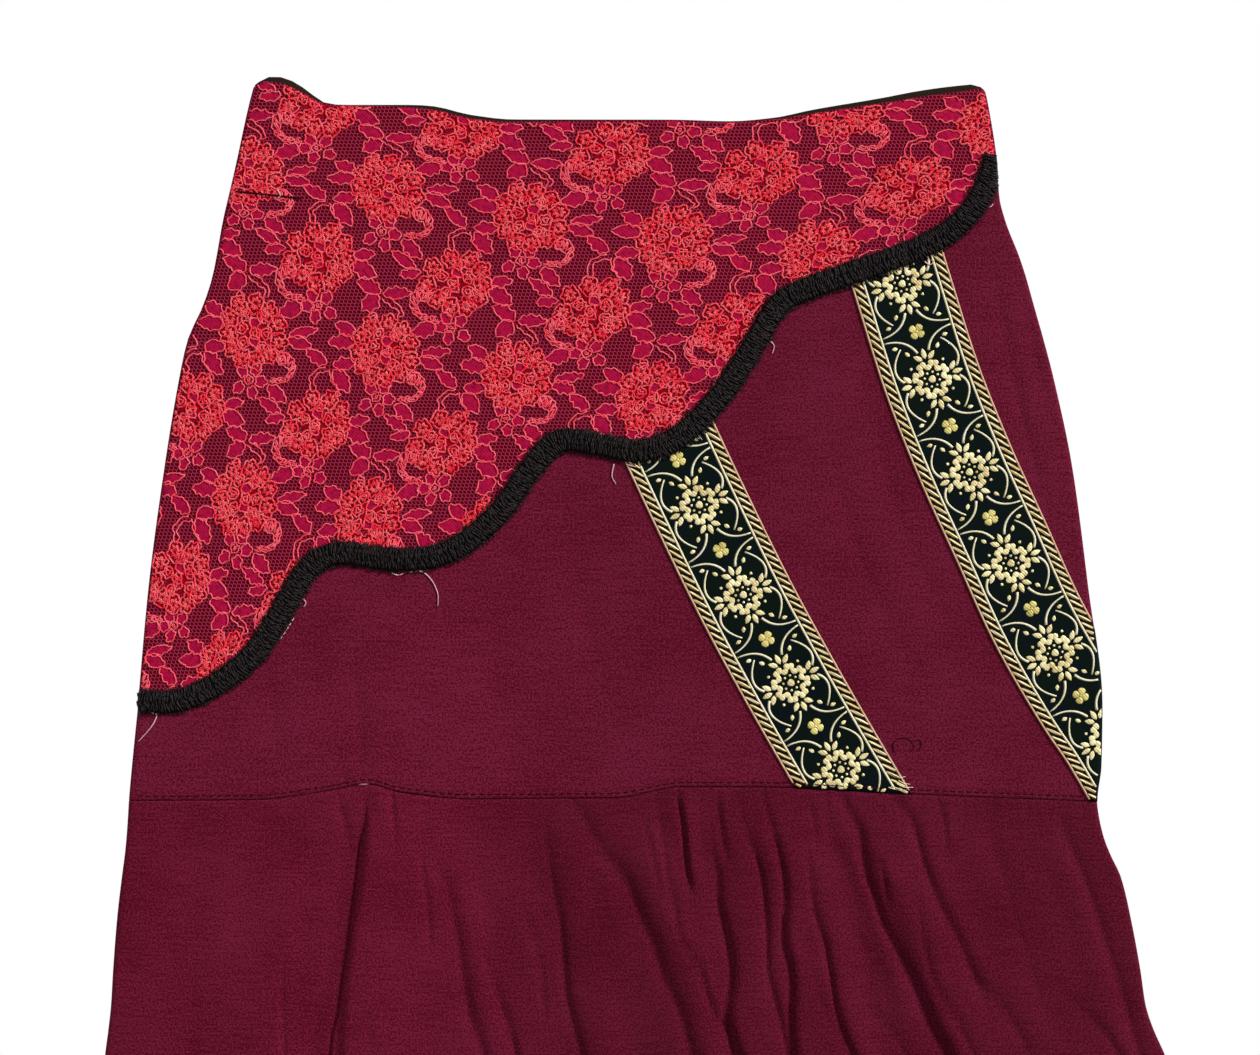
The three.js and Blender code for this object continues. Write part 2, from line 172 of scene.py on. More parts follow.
leftSide, rightSide = throughRows(sides), throughRows(sides[:, ::2])
backWaistDown, backShows = throughRows(waist), throughRows(waist[:, ::2])
seamDown = throughRows(seam)
scallopLine = smoothLine(scallops, 1201)


# The front's waist edge: the back's, lowered by what shows of the back above it.
def frontWaistDown(across):
    return backWaistDown(across) + backShows(across)


# The hem, a parabola that rises towards both sides.
def hemDown(across):
    return garment["length"] - garment["hemCurve"] * (2 * across - 1) ** 2


# y of the lace's scalloped edge at x.
def scallopY(x):
    return np.interp(x, scallopLine[:, 0], scallopLine[:, 1])


# x and y of a place given by its share across and how far down it lies.
def placeAt(across, down):
    return lerp(leftSide(down), rightSide(down), across), garment["waistY"] - down


# Share across the skirt, and how far down, of a place given by x and y.
def shareAt(x, y):
    down = garment["waistY"] - y
    return (x - leftSide(down)) / (rightSide(down) - leftSide(down)), down


# Distance in from the nearer side edge.
def fromSide(x, down):
    return np.minimum(x - leftSide(down), rightSide(down) - x)


# Soft, uneven rippling: a sum of a few slanting cosine waves of about one wavelength.
def ripple(x, y, wavelength, seed, waves=7):
    dice = np.random.default_rng(seed)
    total = 0
    for angle, phase, stretch in dice.uniform((0, 0, 0.7), (np.pi, 2 * np.pi, 1.4), (waves, 3)):
        turn = 2 * np.pi / (wavelength * stretch)
        total = total + np.cos(turn * (x * np.cos(angle) + y * np.sin(angle)) + phase)
    return total / waves


# Creases along lines of (down, x) places. The section is a cusped trough of the given depth and width,
# and on its right a ridge t exp(1 - t) high, with t the distance over reach. It fades out at both ends.
def creaseHeight(x, down, creases):
    total = np.zeros(np.broadcast(x, down).shape)
    for width, depth, ridge, reach, fade, path in creases:
        line = throughRows(path)
        off = (x - line(down)) * np.cos(np.arctan((line(down + 2) - line(down - 2)) / 4))
        over = np.maximum(off, 0) / max(reach, 0.1)
        start, end = path[0][0], path[-1][0]
        fade = fade * (end - start)
        ends = smoothstep(down, start - fade / 2, start + fade) * (1 - smoothstep(down, end - fade, end))
        total += (ridge * over * np.exp(1 - over) - depth * np.exp(-np.abs(off / width) ** 1.3)) * ends
    return total


# Faint forms of the yoke: the swell over the pleat, the hip's fullness and diagonal strain lines. Width,
# depth, ridge, reach, fade, then the line.
yokeCreases = [
    (5, 0.3, 0.4, 9, 0.3, [(290, -166), (358, -162)]),
    (3.5, 0.35, 0.2, 4, 0.3, [(325, -132), (359, -137)]),
    (3, 0.3, 0.2, 5, 0.3, [(338, -176), (359, -169)]),
    (9, 0.2, 0.3, 12, 0.3, [(270, -216), (358, -200)]),
    (4, 0.45, 0.45, 8, 0.4, [(95, 152), (160, 165), (240, 185)]),
    (4, 0.3, 0.3, 6, 0.4, [(105, 168), (140, 174), (180, 182)]),
    (8, 0.3, 0.35, 12, 0.4, [(120, 80), (220, 106), (320, 155)]),
    (6, 0.3, 0.3, 10, 0.4, [(160, 64), (250, 90), (340, 140)]),
    (8, 0.25, 0.3, 12, 0.4, [(215, 34), (300, 58), (350, 84)]),
    (12, 0.2, 0.3, 16, 0.4, [(200, -66), (290, -46), (356, -26)]),
    (9, 0.2, 0.2, 12, 0.4, [(240, -100), (355, -92)]),
    (2, 0.25, 0.15, 3, 0.3, [(318, 40), (354, 34)]),
]


# Height of the low swells: each a bell over shares across and down the yoke.
def swellHeight(across, share):
    total = 0
    for middle, low, reachAcross, reachDown, rise in swells:
        off = ((across - middle) / reachAcross) ** 2 + ((share - low) / reachDown) ** 2
        total = total + rise * np.exp(-off)
    return total


# The front yoke's top surface. It rolls down to the sides, the waist and the seam.
def yokeTop(x, y):
    across, down = shareAt(x, y)
    across = np.clip(across, 0, 1)
    top = frontWaistDown(across)
    share = np.clip((down - top) / (seamDown(across) - top), 0, 1)
    height = 2 * garment["wall"] + garment["gap"] + garment["loft"] * np.sin(np.pi * across)
    height += swellHeight(across, share)
    height += creaseHeight(x, down, yokeCreases) + 0.12 * ripple(x, y, 60, 3)
    aboveSeam = np.maximum(seamDown(across) - down, 0)
    height += 0.35 * np.exp(-(((aboveSeam - garment["allowanceAt"]) / 4) ** 2))
    pulled = 0.2 + 0.16 * np.cos(2 * np.pi * x / garment["stitchPitch"])  # drawn in at each stitch
    height -= pulled * np.exp(-(((aboveSeam - garment["stitchesAt"]) / 1.3) ** 2))
    height -= 0.9 * (1 - rollOff(aboveSeam, 1.3)) + 0.7 * (1 - rollOff(np.maximum(down - top, 0), 1.6))
    return lerp(1.3, height, rollOff(fromSide(x, down), garment["sideRound"]))


# The back panels' inner face, thinner towards the side seams.
def backTop(x, down):
    return lerp(0.5, garment["wall"], rollOff(fromSide(x, down), 4))


# Strength of the tier's folds, from 0 between them to 1 on the tallest crest.
def foldAt(across, share):
    flat = 1
    for atSeam, atThird, atHem, width, lift, lean, starts, ends in folds:
        off = (across - through((0, thirdDown, 1), (atSeam, atThird, atHem))(share)) / width
        out = np.abs(off) / np.where(off < 0, 1 + lean, 1 - lean)
        crest = np.where(out < 1, np.cos(np.pi / 2 * np.minimum(out, 1)) ** 2, 0)
        fade = smoothstep(share, starts, starts + 0.1) * (1 - smoothstep(share, ends / 2, ends))
        flat = flat * (1 - lift * crest * fade)
    return 1 - flat


# An sRGB hex colour as linear RGBA.
def linear(colour):
    channels = np.array([int(colour[i:i + 2], 16) for i in (1, 3, 5)]) / 255
    bright = ((channels + 0.055) / 1.055) ** 2.4
    return (*np.where(channels <= 0.04045, channels / 12.92, bright), 1.0)


# Scale of a wave texture whose bands lie one unit apart.
bandScale = 0.314


# A new material, and the function that adds a node to it: inputs by name or number, each a plain value
# or another node's output, then which output to give back, and settings.
def newMaterial(name):
    material = bpy.data.materials.new(name)
    material.use_nodes = True
    tree = material.node_tree
    tree.nodes.clear()

    def addNode(kind, inputs, out=0, **settings):
        node = tree.nodes.new("ShaderNode" + kind)
        for key, value in settings.items():
            setattr(node, key, value)
        for key, value in inputs.items():
            if isinstance(value, bpy.types.NodeSocket):
                tree.links.new(value, node.inputs[key])
            else:
                node.inputs[key].default_value = value
        return node.outputs[out] if node.outputs else None

    return material, addNode


# The shader of a cloth or yarn, with its colour and with a bump from its relief, in metres.
def finishMaterial(material, addNode, colour, relief, strength, depth, inputs):
    bump = addNode("Bump", {"Height": relief, "Strength": strength, "Distance": depth})
    shader = addNode("BsdfPrincipled", {"Base Color": colour, "Normal": bump, **inputs})
    addNode("OutputMaterial", {0: shader})
    return material


# Fine combed-cotton jersey, circular knitted and piece dyed: matt and faintly fuzzy, with darker slub
# streaks along its courses. Real wales and grain are too fine to show and are drawn 1 mm wide. The UV is
# in millimetres, so a noise's scale is its patches to a millimetre.
def jerseyMaterial(name, looks):
    material, addNode = newMaterial(name)
    place = addNode("UVMap", {}, uv_map="cloth")
    grain = addNode("TexNoise", {"Vector": place, "Scale": 0.95, "Detail": 2, "Roughness": 0.85})
    along = addNode("Mapping", {"Vector": place, "Scale": (0.05, 0.9, 1)})
    slub = addNode("TexNoise", {"Vector": along, "Scale": 1, "Detail": 3, "Roughness": 0.65})
    cloud = addNode("TexNoise", {"Vector": place, "Scale": 0.02, "Detail": 3})
    mottled = addNode("Math", {0: grain, 1: 4, 2: slub}, operation="MULTIPLY_ADD")
    tone = addNode("Math", {0: cloud, 1: 0.7, 2: mottled}, operation="MULTIPLY_ADD")
    level = addNode("MapRange", {0: tone, 1: 2.66, 2: 3.06})
    shade, lit = linear(looks["shade"]), linear(looks["colour"])
    colour = addNode("Mix", {0: level, 6: shade, 7: lit}, 2, data_type="RGBA")
    # Painted shade: the colour grows darker from one x to another, standing for shade on that side.
    if "paintedShade" in looks:  # a shade darker from one x to another, and how dark
        fromX, toX, least = looks["paintedShade"]
        x = addNode("SeparateXYZ", {0: place})
        paintedShade = addNode("MapRange", {0: x, 1: fromX, 2: toX, 3: 1, 4: least})
        colour = addNode("VectorMath", {0: colour, 1: paintedShade}, operation="MULTIPLY")
    # Painted shade: the inside of the back's waist edge, dark brown in its first millimetres.
    if "inside" in looks:  # the inside of the waist, in the first millimetres below the edge
        fromEdge = addNode("SeparateXYZ", {0: place}, 1)
        edge = addNode("MapRange", {0: fromEdge, 1: 5, 2: 9})
        colour = addNode("Mix", {0: edge, 6: linear(looks["inside"]), 7: colour}, 2, data_type="RGBA")
    waleWidth = 1
    waves = {"Vector": place, "Scale": bandScale / waleWidth, "Distortion": 0.8}
    wales = addNode("TexWave", waves, 1, bands_direction="X")
    relief = addNode("Math", {0: wales, 1: 0.15, 2: mottled}, operation="MULTIPLY_ADD")
    return finishMaterial(material, addNode, colour, relief, 0.5, 0.0003, {
        "Roughness": 0.95, "Specular IOR Level": 0.08, "Sheen Weight": looks["sheen"],
        "Sheen Roughness": 0.5, "Sheen Tint": linear("#d98a9c"),
    })


# The lace's ground, a warp-knitted nylon net of 2 mm hexagons: mauve-red threads, and holes painted in
# the colour of the jersey in shade beneath, as painted shade, a little lighter in patches. The hexagon
# edge is the larger of |x| and |x| / 2 + 0.866 |y| from the nearest of two rectangular lattices of
# middles.
def netMaterial(looks):
    material, addNode = newMaterial("hexagonal nylon net")
    place = addNode("UVMap", {}, uv_map="cloth")
    share = 1 / looks["mesh"]
    cells = addNode("Mapping", {"Vector": place, "Scale": (share, share, 0)})
    half, minus = (0.5, 0.866, 0.5), (-0.5, -0.866, -0.5)
    shifted = addNode("VectorMath", {0: cells, 1: (0.5, 0.866, 0)}, operation="ADD")
    first, second = [
        addNode("VectorMath", {0: c, 1: half, 2: minus}, operation="WRAP") for c in (cells, shifted)]
    farFirst, farSecond = [
        addNode("VectorMath", {0: c}, 1, operation="LENGTH") for c in (first, second)]
    nearer = addNode("Math", {0: farFirst, 1: farSecond}, operation="GREATER_THAN")
    cell = addNode("Mix", {0: nearer, 4: first, 5: second}, 1, data_type="VECTOR")
    plain = addNode("VectorMath", {0: cell}, operation="ABSOLUTE")
    slanted = addNode("VectorMath", {0: plain, 1: (0.5, 0.866, 0)}, 1, operation="DOT_PRODUCT")
    straight = addNode("SeparateXYZ", {0: plain})
    edge = addNode("Math", {0: slanted, 1: straight}, operation="MAXIMUM")
    thread = addNode("MapRange", {0: edge, 1: 0.39, 2: 0.48})
    patch = addNode("TexNoise", {"Vector": place, "Scale": 0.09, "Detail": 2})
    dark, lit = linear(looks["hole"]), linear(looks["litHole"])
    hole = addNode("Mix", {0: patch, 6: dark, 7: lit}, 2, data_type="RGBA")
    colour = addNode("Mix", {0: thread, 6: hole, 7: linear(looks["thread"])}, 2, data_type="RGBA")
    return finishMaterial(material, addNode, colour, thread, 0.6, 0.0003, {
        "Roughness": 0.9, "Specular IOR Level": 0,
    })


# Yarn: two plies twisted round each other, with painted highlights in random patches on their crowns
# and painted shade in the grooves between them. The piece's UV gives the share round the yarn and the
# millimetres along it.
def yarnMaterial(name, looks):
    material, addNode = newMaterial(name)
    place = addNode("UVMap", {}, uv_map="cloth")
    around, along = [addNode("SeparateXYZ", {0: place}, k) for k in (0, 1)]
    turns = addNode("Math", {0: along, 1: 1 / looks["twist"], 2: around}, operation="MULTIPLY_ADD")
    turned = addNode("Math", {0: turns, 1: 4 * np.pi}, operation="MULTIPLY")
    wave = addNode("Math", {0: turned}, operation="SINE")
    ply = addNode("MapRange", {0: wave, 1: -1, 2: 0.6})
    solid = addNode("TexCoord", {}, 3)
    uneven = addNode("TexNoise", {"Vector": solid, "Scale": looks["patch"], "Detail": 2})
    shift = addNode("MapRange", {0: uneven, 1: 0.35, 2: 0.65})
    # Painted highlights: the lit colour in random patches; painted shade: the darker colour between plies.
    own, lit = linear(looks["colour"]), linear(looks["lit"])
    body = addNode("Mix", {0: shift, 6: own, 7: lit}, 2, data_type="RGBA")
    colour = addNode("Mix", {0: ply, 6: linear(looks["grooveShade"]), 7: body}, 2, data_type="RGBA")
    return finishMaterial(material, addNode, colour, ply, 0.5, 0.0002, {
        "Roughness": looks["rough"], "Specular IOR Level": looks["gloss"],
        "Sheen Weight": looks.get("sheen", 0), "Sheen Roughness": 0.4,
    })


# Close cloth stitch of the lace's leaves and gold floats of the ribbon: fine ribs with a silky, slightly
# patchy depth to them. They are drawn 0.83 mm apart, coarser than real threads lie, so that they show.
def fillingMaterial(name, looks):
    material, addNode = newMaterial(name)
    solid = addNode("TexCoord", {}, 3)
    ribWidth = 0.000826
    waves = {"Vector": solid, "Scale": bandScale / ribWidth, "Distortion": 3, "Detail": 1}
    ribs = addNode("TexWave", waves, 1, bands_direction="DIAGONAL")
    patch = addNode("TexNoise", {"Vector": solid, "Scale": looks.get("patch", 160), "Detail": 3})
    depth = addNode("Math", {0: ribs, 1: 0.4, 2: patch}, operation="MULTIPLY_ADD")
    level = addNode("MapRange", {0: depth, 1: 0.35, 2: 0.95})
    shade, lit = linear(looks["shade"]), linear(looks["colour"])
    colour = addNode("Mix", {0: level, 6: shade, 7: lit}, 2, data_type="RGBA")
    return finishMaterial(material, addNode, colour, depth, 0.5, 0.0002, {
        "Roughness": looks["rough"], "Specular IOR Level": looks.get("gloss", 0.04),
        "Metallic": looks.get("metal", 0),
    })


# Ground of the woven ribbon, a fine satin of black-green rayon whose bars under the rope borders are
# brown. UV is millimetres across from the middle and along. Its picks are drawn 0.7 mm apart, because
# real ones are too fine to show, with painted shade, near black, between them.
def satinMaterial(looks):
    material, addNode = newMaterial("black-green rayon satin")
    place = addNode("UVMap", {}, uv_map="cloth")
    fromMiddle = addNode("SeparateXYZ", {0: place})
    across = addNode("Math", {0: fromMiddle}, operation="ABSOLUTE")
    border = addNode("Math", {0: across, 1: looks["borderFrom"]}, operation="GREATER_THAN")
    patch = addNode("TexNoise", {"Vector": place, "Scale": 0.12, "Detail": 3})
    mixed = addNode("MapRange", {0: patch, 1: 0.4, 2: 0.62})
    green, blue = linear(looks["green"]), linear(looks["blue"])
    ground = addNode("Mix", {0: mixed, 6: green, 7: blue}, 2, data_type="RGBA")
    bars = addNode("Mix", {0: border, 6: ground, 7: linear(looks["brown"])}, 2, data_type="RGBA")
    pickWidth = 0.7
    waves = {"Vector": place, "Scale": bandScale / pickWidth, "Distortion": 0.5}
    picks = addNode("TexWave", waves, 1, bands_direction="Y")
    # Painted shade: near black between the picks.
    shaded = addNode("Mix", {0: picks, 6: linear(looks["pickShade"]), 7: bars}, 2, data_type="RGBA")
    return finishMaterial(material, addNode, shaded, picks, 0.4, 0.0002, {
        "Roughness": 0.6, "Specular IOR Level": 0.04,
    })


# A mesh from points in millimetres and arrays of faces, with one UV pair for each point.
def makePiece(name, points, faces, uv, material, slot):
    corners = np.concatenate([f.ravel() for f in faces]).astype(np.int32)
    sizes = np.concatenate([np.full(len(f), f.shape[1]) for f in faces]).astype(np.int32)
    mesh = bpy.data.meshes.new(name)
    mesh.vertices.add(len(points))
    mesh.vertices.foreach_set("co", (points * 0.001).astype(np.float32).ravel())
    mesh.loops.add(len(corners))
    mesh.loops.foreach_set("vertex_index", corners)
    mesh.polygons.add(len(sizes))
    mesh.polygons.foreach_set("loop_start", (np.cumsum(sizes) - sizes).astype(np.int32))
    mesh.polygons.foreach_set("use_smooth", np.ones(len(sizes), bool))
    mesh.update(calc_edges=True)
    mesh.uv_layers.new(name="cloth").data.foreach_set("uv", uv[corners].astype(np.float32).ravel())
    mesh.materials.append(material)
    piece = bpy.data.objects.new(name, mesh)
    scene.collection.objects.link(piece)
    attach(piece, "root")
    print(name, int((sizes - 2).sum()), "triangles")
    return piece


# A closed thin shell: a grid of points for its face and one for its back, joined round the edge. Rows
# run down the cloth and columns to the right.
def shell(name, x, y, face, back, uv, material, slot):
    count = x.size
    points = np.concatenate([np.stack([x, y, z], -1).reshape(-1, 3) for z in (face, back)])
    index = np.arange(count).reshape(x.shape)
    a, b, c, d = index[:-1, :-1], index[1:, :-1], index[1:, 1:], index[:-1, 1:]
    faces = [np.stack([a, b, c, d], -1).reshape(-1, 4), np.stack([a, d, c, b], -1).reshape(-1, 4) + count]
    for line, turned in ((index[0], 1), (index[-1], -1), (index[:, 0], -1), (index[:, -1], 1)):
        faces.append(np.stack([line[:-1], line[1:], line[1:] + count, line[:-1] + count], -1)[:, ::turned])
    uv = np.stack(np.broadcast_arrays(*uv), -1).reshape(-1, 2)
    return makePiece(name, points, faces, np.concatenate([uv, uv]), material, slot)


# Tubes along many runs of points at once. Each point carries a ring whose corners are
# point + radius (cos(a) side + flat sin(a) rise); rings of one run are joined, and its ends capped.
def tubes(points, runs, radius, corners=4, flat=1.0):
    first = np.append(True, runs[1:] != runs[:-1])
    last = np.append(first[1:], True)
    index = np.arange(len(points))
    way = points[index + ~last] - points[index - ~first]
    way /= np.maximum(np.linalg.norm(way, axis=1, keepdims=True), 1e-9)
    side = np.stack([way[:, 1], -way[:, 0], np.zeros(len(way))], -1)
    length = np.linalg.norm(side, axis=1, keepdims=True)
    side = np.where(length > 1e-3, side / np.maximum(length, 1e-3), (1, 0, 0))
    rise = np.cross(side, way)
    angle = 2 * np.pi * np.arange(corners)[None, :, None] / corners
    radius = np.broadcast_to(radius, len(points))[:, None, None]
    out = np.cos(angle) * side[:, None] + flat * np.sin(angle) * rise[:, None]
    ring = points[:, None] + radius * out
    k, after = np.arange(corners), (np.arange(corners) + 1) % corners
    start = index[~last][:, None] * corners
    walls = np.stack([start + k, start + k + corners, start + after + corners, start + after], -1)
    walls = walls.reshape(-1, 4)
    caps = [index[first][:, None] * corners + k, index[last][:, None] * corners + k[::-1]]
    far = np.append(0, np.cumsum(np.linalg.norm(np.diff(points, axis=0), axis=1) * ~last[:-1]))
    uv = np.stack(np.broadcast_arrays(k / corners, far[:, None]), -1).reshape(-1, 2)
    return ring.reshape(-1, 3), [walls, *caps], uv


# Low closed cushions over many outlines at once, (pads, corners, 2): rings of the outline drawn in
# towards its middle, rising as a quarter circle does, over a flat bottom.
def pads(outlines, surface, low, high, into=None):
    area = np.cross(outlines, np.roll(outlines, -1, 1)).sum(1)
    outlines = np.where(area[:, None, None] < 0, outlines[:, ::-1], outlines)
    middles = outlines.mean(1, keepdims=True)
    shares, levels = np.array([1, 1, 0.82, 0.45]), np.array([-0.12, 0.1, 0.6, 1.0])
    places = middles[:, None] + shares[:, None, None] * (outlines - middles)[:, None]
    x, y = places[..., 0], places[..., 1]
    if into:
        x, y = into(x, y)
    z = surface(x, y) + low + (levels * np.where(levels < 0, 1, high))[:, None]
    index = np.arange(x.size).reshape(x.shape)
    after = np.roll(index, -1, 2)
    walls = np.stack([index[:, :-1], after[:, :-1], after[:, 1:], index[:, 1:]], -1).reshape(-1, 4)
    points = np.stack([x, y, z], -1).reshape(-1, 3)
    return points, [walls, index[:, -1], index[:, 0, ::-1]], points[:, :2].copy()


# Many bodies of points, faces and UVs as one.
def joined(bodies):
    points, faces, uvs, base = [], {}, [], 0
    for body in bodies:
        points.append(body[0])
        uvs.append(body[2])
        for face in body[1]:
            faces.setdefault(face.shape[1], []).append(face + base)
        base += len(body[0])
    return np.concatenate(points), [np.concatenate(f) for f in faces.values()], np.concatenate(uvs)


# Keeps the points of runs where a test holds, and starts a new run after each break.
def clipped(points, runs, keep):
    breaks = np.append(True, (runs[1:] != runs[:-1]) | (keep[1:] != keep[:-1]))
    runs = np.cumsum(breaks)
    sizes = np.bincount(runs)
    keep = keep & (sizes[runs] > 2)
    return points[keep], runs[keep], keep


# Jersey panels. The back ones lie flat; the front ones carry the folds.
cloth = {
    "backColumns": 60,
    "backRows": 40,
    "yokeColumns": 400,
    "yokeRows": 82,
    "tierColumns": 470,
    "tierRows": 88,
    "foldShare": 0.62,  # the laid cloth's folds against the solids' plainer ones
    "creaseDepth": 1.2,  # of the tier's creases against their table
    "pleatAt": 0.235,  # column share that follows the sharp pleat
    "pleatStep": 1.0,  # how far the pleat's top layer stands above what it laps
    "gathers": 0.55,  # height of the small gathers under the seam, and how far down they reach
    "gathersDown": 16,
    "ripples": (0.2, 0.1),  # heights of the long and the short unevenness
    "troughs": 2.15,  # lowest height of the tier's troughs, clear of the back panel
    "hemTurn": 11,  # depth of the turned-up hem
    # The yoke's and tier's last entry is painted shade, darker from -90 mm across to -30 mm and beyond.
    "yoke": {"colour": "#6a1933", "shade": "#4d0116", "sheen": 0.02, "paintedShade": (-90, -30, 0.9)},
    "tier": {"colour": "#671630", "shade": "#4b0013", "sheen": 0.02, "paintedShade": (-90, -30, 0.76)},
    # The back's inside colour is painted shade on its waist edge, where it shows above the front.
    "back": {"colour": "#66122b", "shade": "#420818", "sheen": 0.02, "inside": "#1f160e"},
}
# The sharp pleat's line and the creases of the tier, left to right: (down, x) places.
pleatLine = [
    (354, -159.5), (364, -160.6), (372, -160.3), (384, -163.2), (403.5, -165.7), (421, -167.8),
    (439, -169.8), (452.5, -172.4), (467, -174.2), (477, -177), (489.5, -178.5), (630, -187),
    (780, -193),
]
pleatX = throughRows(pleatLine)
# Width, depth, ridge, reach, fade, then the line.
tierCreases = [
    (9, 0.3, 0.2, 14, 0.3, [(380, -244), (520, -250), (700, -266)]),
    (1.0, 0.7, 0.2, 5, 0.15, [(440, -202), (452, -203), (489.5, -202), (620, -207)]),
    (2.2, 0.7, 0.2, 4, 0.3, [(358, -175), (366, -174), (375, -171.3), (390, -168.5)]),
    (4, 0.5, 0.1, 5, 0.3, [(375, -172), (420, -175), (489.5, -188), (640, -204)]),
    (1.1, 0.8, 0.3, 3, 0.3, [(352, -148.5), (358, -147.9), (370, -146.9), (386, -145.6)]),
    (1.0, 0.5, 0.1, 3, 0.4, [(356, -156), (366, -156.6), (378, -156)]),
    (1.1, 0.7, 0.3, 3, 0.3, [(382, -133.8), (400, -132), (420, -129.5), (443, -128.5)]),
    (3.6, 1.5, 0.6, 6, 0.25, [(388, -130), (405.5, -120.3), (420, -117.3), (436, -114.2), (451, -112.2),
        (472, -108), (489.5, -102), (600, -92), (730, -90)]),
    (0.9, 1.1, 0.6, 4, 0.25, [(424, -108), (439, -102), (451.4, -97.4), (465, -92.8), (480, -87.7),
        (489.5, -85.6), (560, -74), (650, -66)]),
    (2.2, 0.6, 0.2, 5, 0.3, [(416, -83), (436, -75.4), (456, -72.4), (480, -71.3)]),
    (2.0, 1.1, 0.7, 5, 0.25, [(380, -71), (405.5, -67.3), (426, -63.2), (441, -62.2), (461.6, -60.1),
        (477, -56), (489.5, -53), (590, -40), (690, -32)]),
    (4.6, 1.7, 1.0, 9, 0.15, [(359, -58.5), (373, -51), (385, -44.5), (405.5, -29), (420, -23.8),
        (432, -17.7), (450, -12), (462, -6), (489.5, 2), (600, 25), (740, 36)]),
    (1.5, 0.5, 0.4, 3, 0.3, [(372, -22), (392, -17), (410, -14)]),
    (3.4, 1.0, 0.2, 5, 0.3, [(362, -15.5), (385, -12.4), (403.5, -9.5), (421, -5.4), (432, -3.2)]),
    (1.1, 1.9, 1.0, 2.6, 0.2, [(359, -5.2), (375, -2.4), (388, -1.3), (400, 0.2), (409, 2.2)]),
    (0.9, 1.3, 1.0, 4, 0.25, [(420, -6.4), (426, -5.4), (436, -0.3), (446, 5.8), (455.5, 8.9),
        (467, 12.9), (477, 20), (500, 30), (600, 46)]),
    (2.4, 1.0, 0.6, 5, 0.3, [(359, 14.2), (373, 16), (385, 18), (396, 21)]),
    (2.0, 1.9, 1.1, 6, 0.15, [(388, 12), (400, 15), (411.6, 15), (421, 17), (434, 20), (446, 21.6),
        (456.5, 21.1), (467, 19), (479, 21.1), (489.5, 23.1), (600, 40), (760, 54)]),
    (1.5, 1.3, 0.7, 4, 0.2, [(370, 26.8), (384, 31.3), (391, 34.4), (405.5, 37.4), (421, 39),
        (432, 39.5), (444, 39.5), (454.5, 41.5), (470, 45.6), (489.5, 49.7), (560, 58)]),
    (2.0, 1.8, 1.3, 4.5, 0.15, [(360, 37.6), (373, 41), (385, 44.6), (399.4, 47.6), (411.6, 48.7),
        (421, 47.6), (432, 47.6), (444, 50.7), (456.5, 51.7), (467, 51), (489.5, 52.5), (620, 66),
        (770, 78)]),
    (1.6, 1.6, 0.6, 5, 0.2, [(392, 59.5), (399, 60.9), (411.6, 61.9), (421, 64), (432, 68), (443, 70),
        (467, 74), (480, 78.2), (489.5, 82.3), (560, 92), (680, 104)]),
    (2.6, 0.7, 0.3, 6, 0.3, [(452, 63), (468, 69), (482, 76), (520, 88)]),
    (2.4, 2.2, 1.4, 8, 0.12, [(359, 75.5), (371, 82.3), (380, 86.4), (390, 87.4), (400.4, 89.5),
        (411.6, 93.6), (424, 97.6), (434, 102.7), (444, 107.8), (453.5, 112.9), (465, 118), (475, 122),
        (489.5, 130), (560, 152), (700, 178), (776, 190)]),
    (1.2, 0.6, 0.4, 3, 0.3, [(393, 96.5), (402, 98.2), (414, 99.5)]),
    (3.2, 1.3, 0.8, 6, 0.2, [(359, 102), (365, 105.8), (372, 111.9), (383, 115), (397, 119), (408, 123),
        (430, 134), (470, 152)]),
    (2.4, 0.8, 0.5, 6, 0.25, [(412, 114), (436, 118), (451, 122), (476, 136), (489.5, 142), (560, 160)]),
    (2.0, 0.5, 0.3, 5, 0.3, [(424, 82), (436, 88), (450, 94)]),
    (2.0, 0.5, 0.3, 5, 0.3, [(456, 83), (466, 92), (480, 103), (520, 122)]),
    (1.6, 0.5, 0.4, 3, 0.3, [(361, 60), (373, 63), (388, 64)]),
    (1.4, 0.5, 0.3, 3, 0.3, [(359, 124), (372, 128), (392, 130)]),
    (2.6, 0.6, 0.4, 7, 0.3, [(440, 132), (452, 144), (470, 160), (500, 176)]),
    (5, 0.5, 0.3, 9, 0.3, [(372, 150), (420, 163), (480, 182)]),
    (3.4, 1.2, 0.6, 8, 0.2, [(372, 186), (402, 198.5), (438, 210.5), (462, 218), (540, 238)]),
    (2.2, 0.8, 0.5, 6, 0.3, [(455, 184), (470, 200), (481.5, 210.5), (540, 240)]),
    (1.2, 0.4, 0.3, 3, 0.3, [(470, -161), (480, -158), (489.5, -154)]),
    (4, 1.2, 0.6, 9, 0.2, [(500, -150), (640, -152), (775, -150)]),
    (1.6, 0.8, 0.4, 5, 0.2, [(560, -128), (680, -126), (776, -122)]),
    (3.6, 1.5, 0.9, 8, 0.2, [(560, 96), (680, 112), (778, 122)]),
    (3.4, 1.4, 0.8, 8, 0.2, [(530, 195), (650, 228), (772, 252)]),
    (1.4, 1.0, 0.5, 5, 0.2, [(580, 214), (680, 252), (768, 280)]),
    (3.0, 1.3, 0.8, 8, 0.2, [(600, -20), (700, -10), (778, -6)]),
    (1.2, 1.0, 0.5, 4, 0.2, [(540, 118), (640, 134), (776, 150)]),
    (1.4, 0.9, 0.4, 5, 0.2, [(640, -232), (720, -242), (770, -246)]),
]


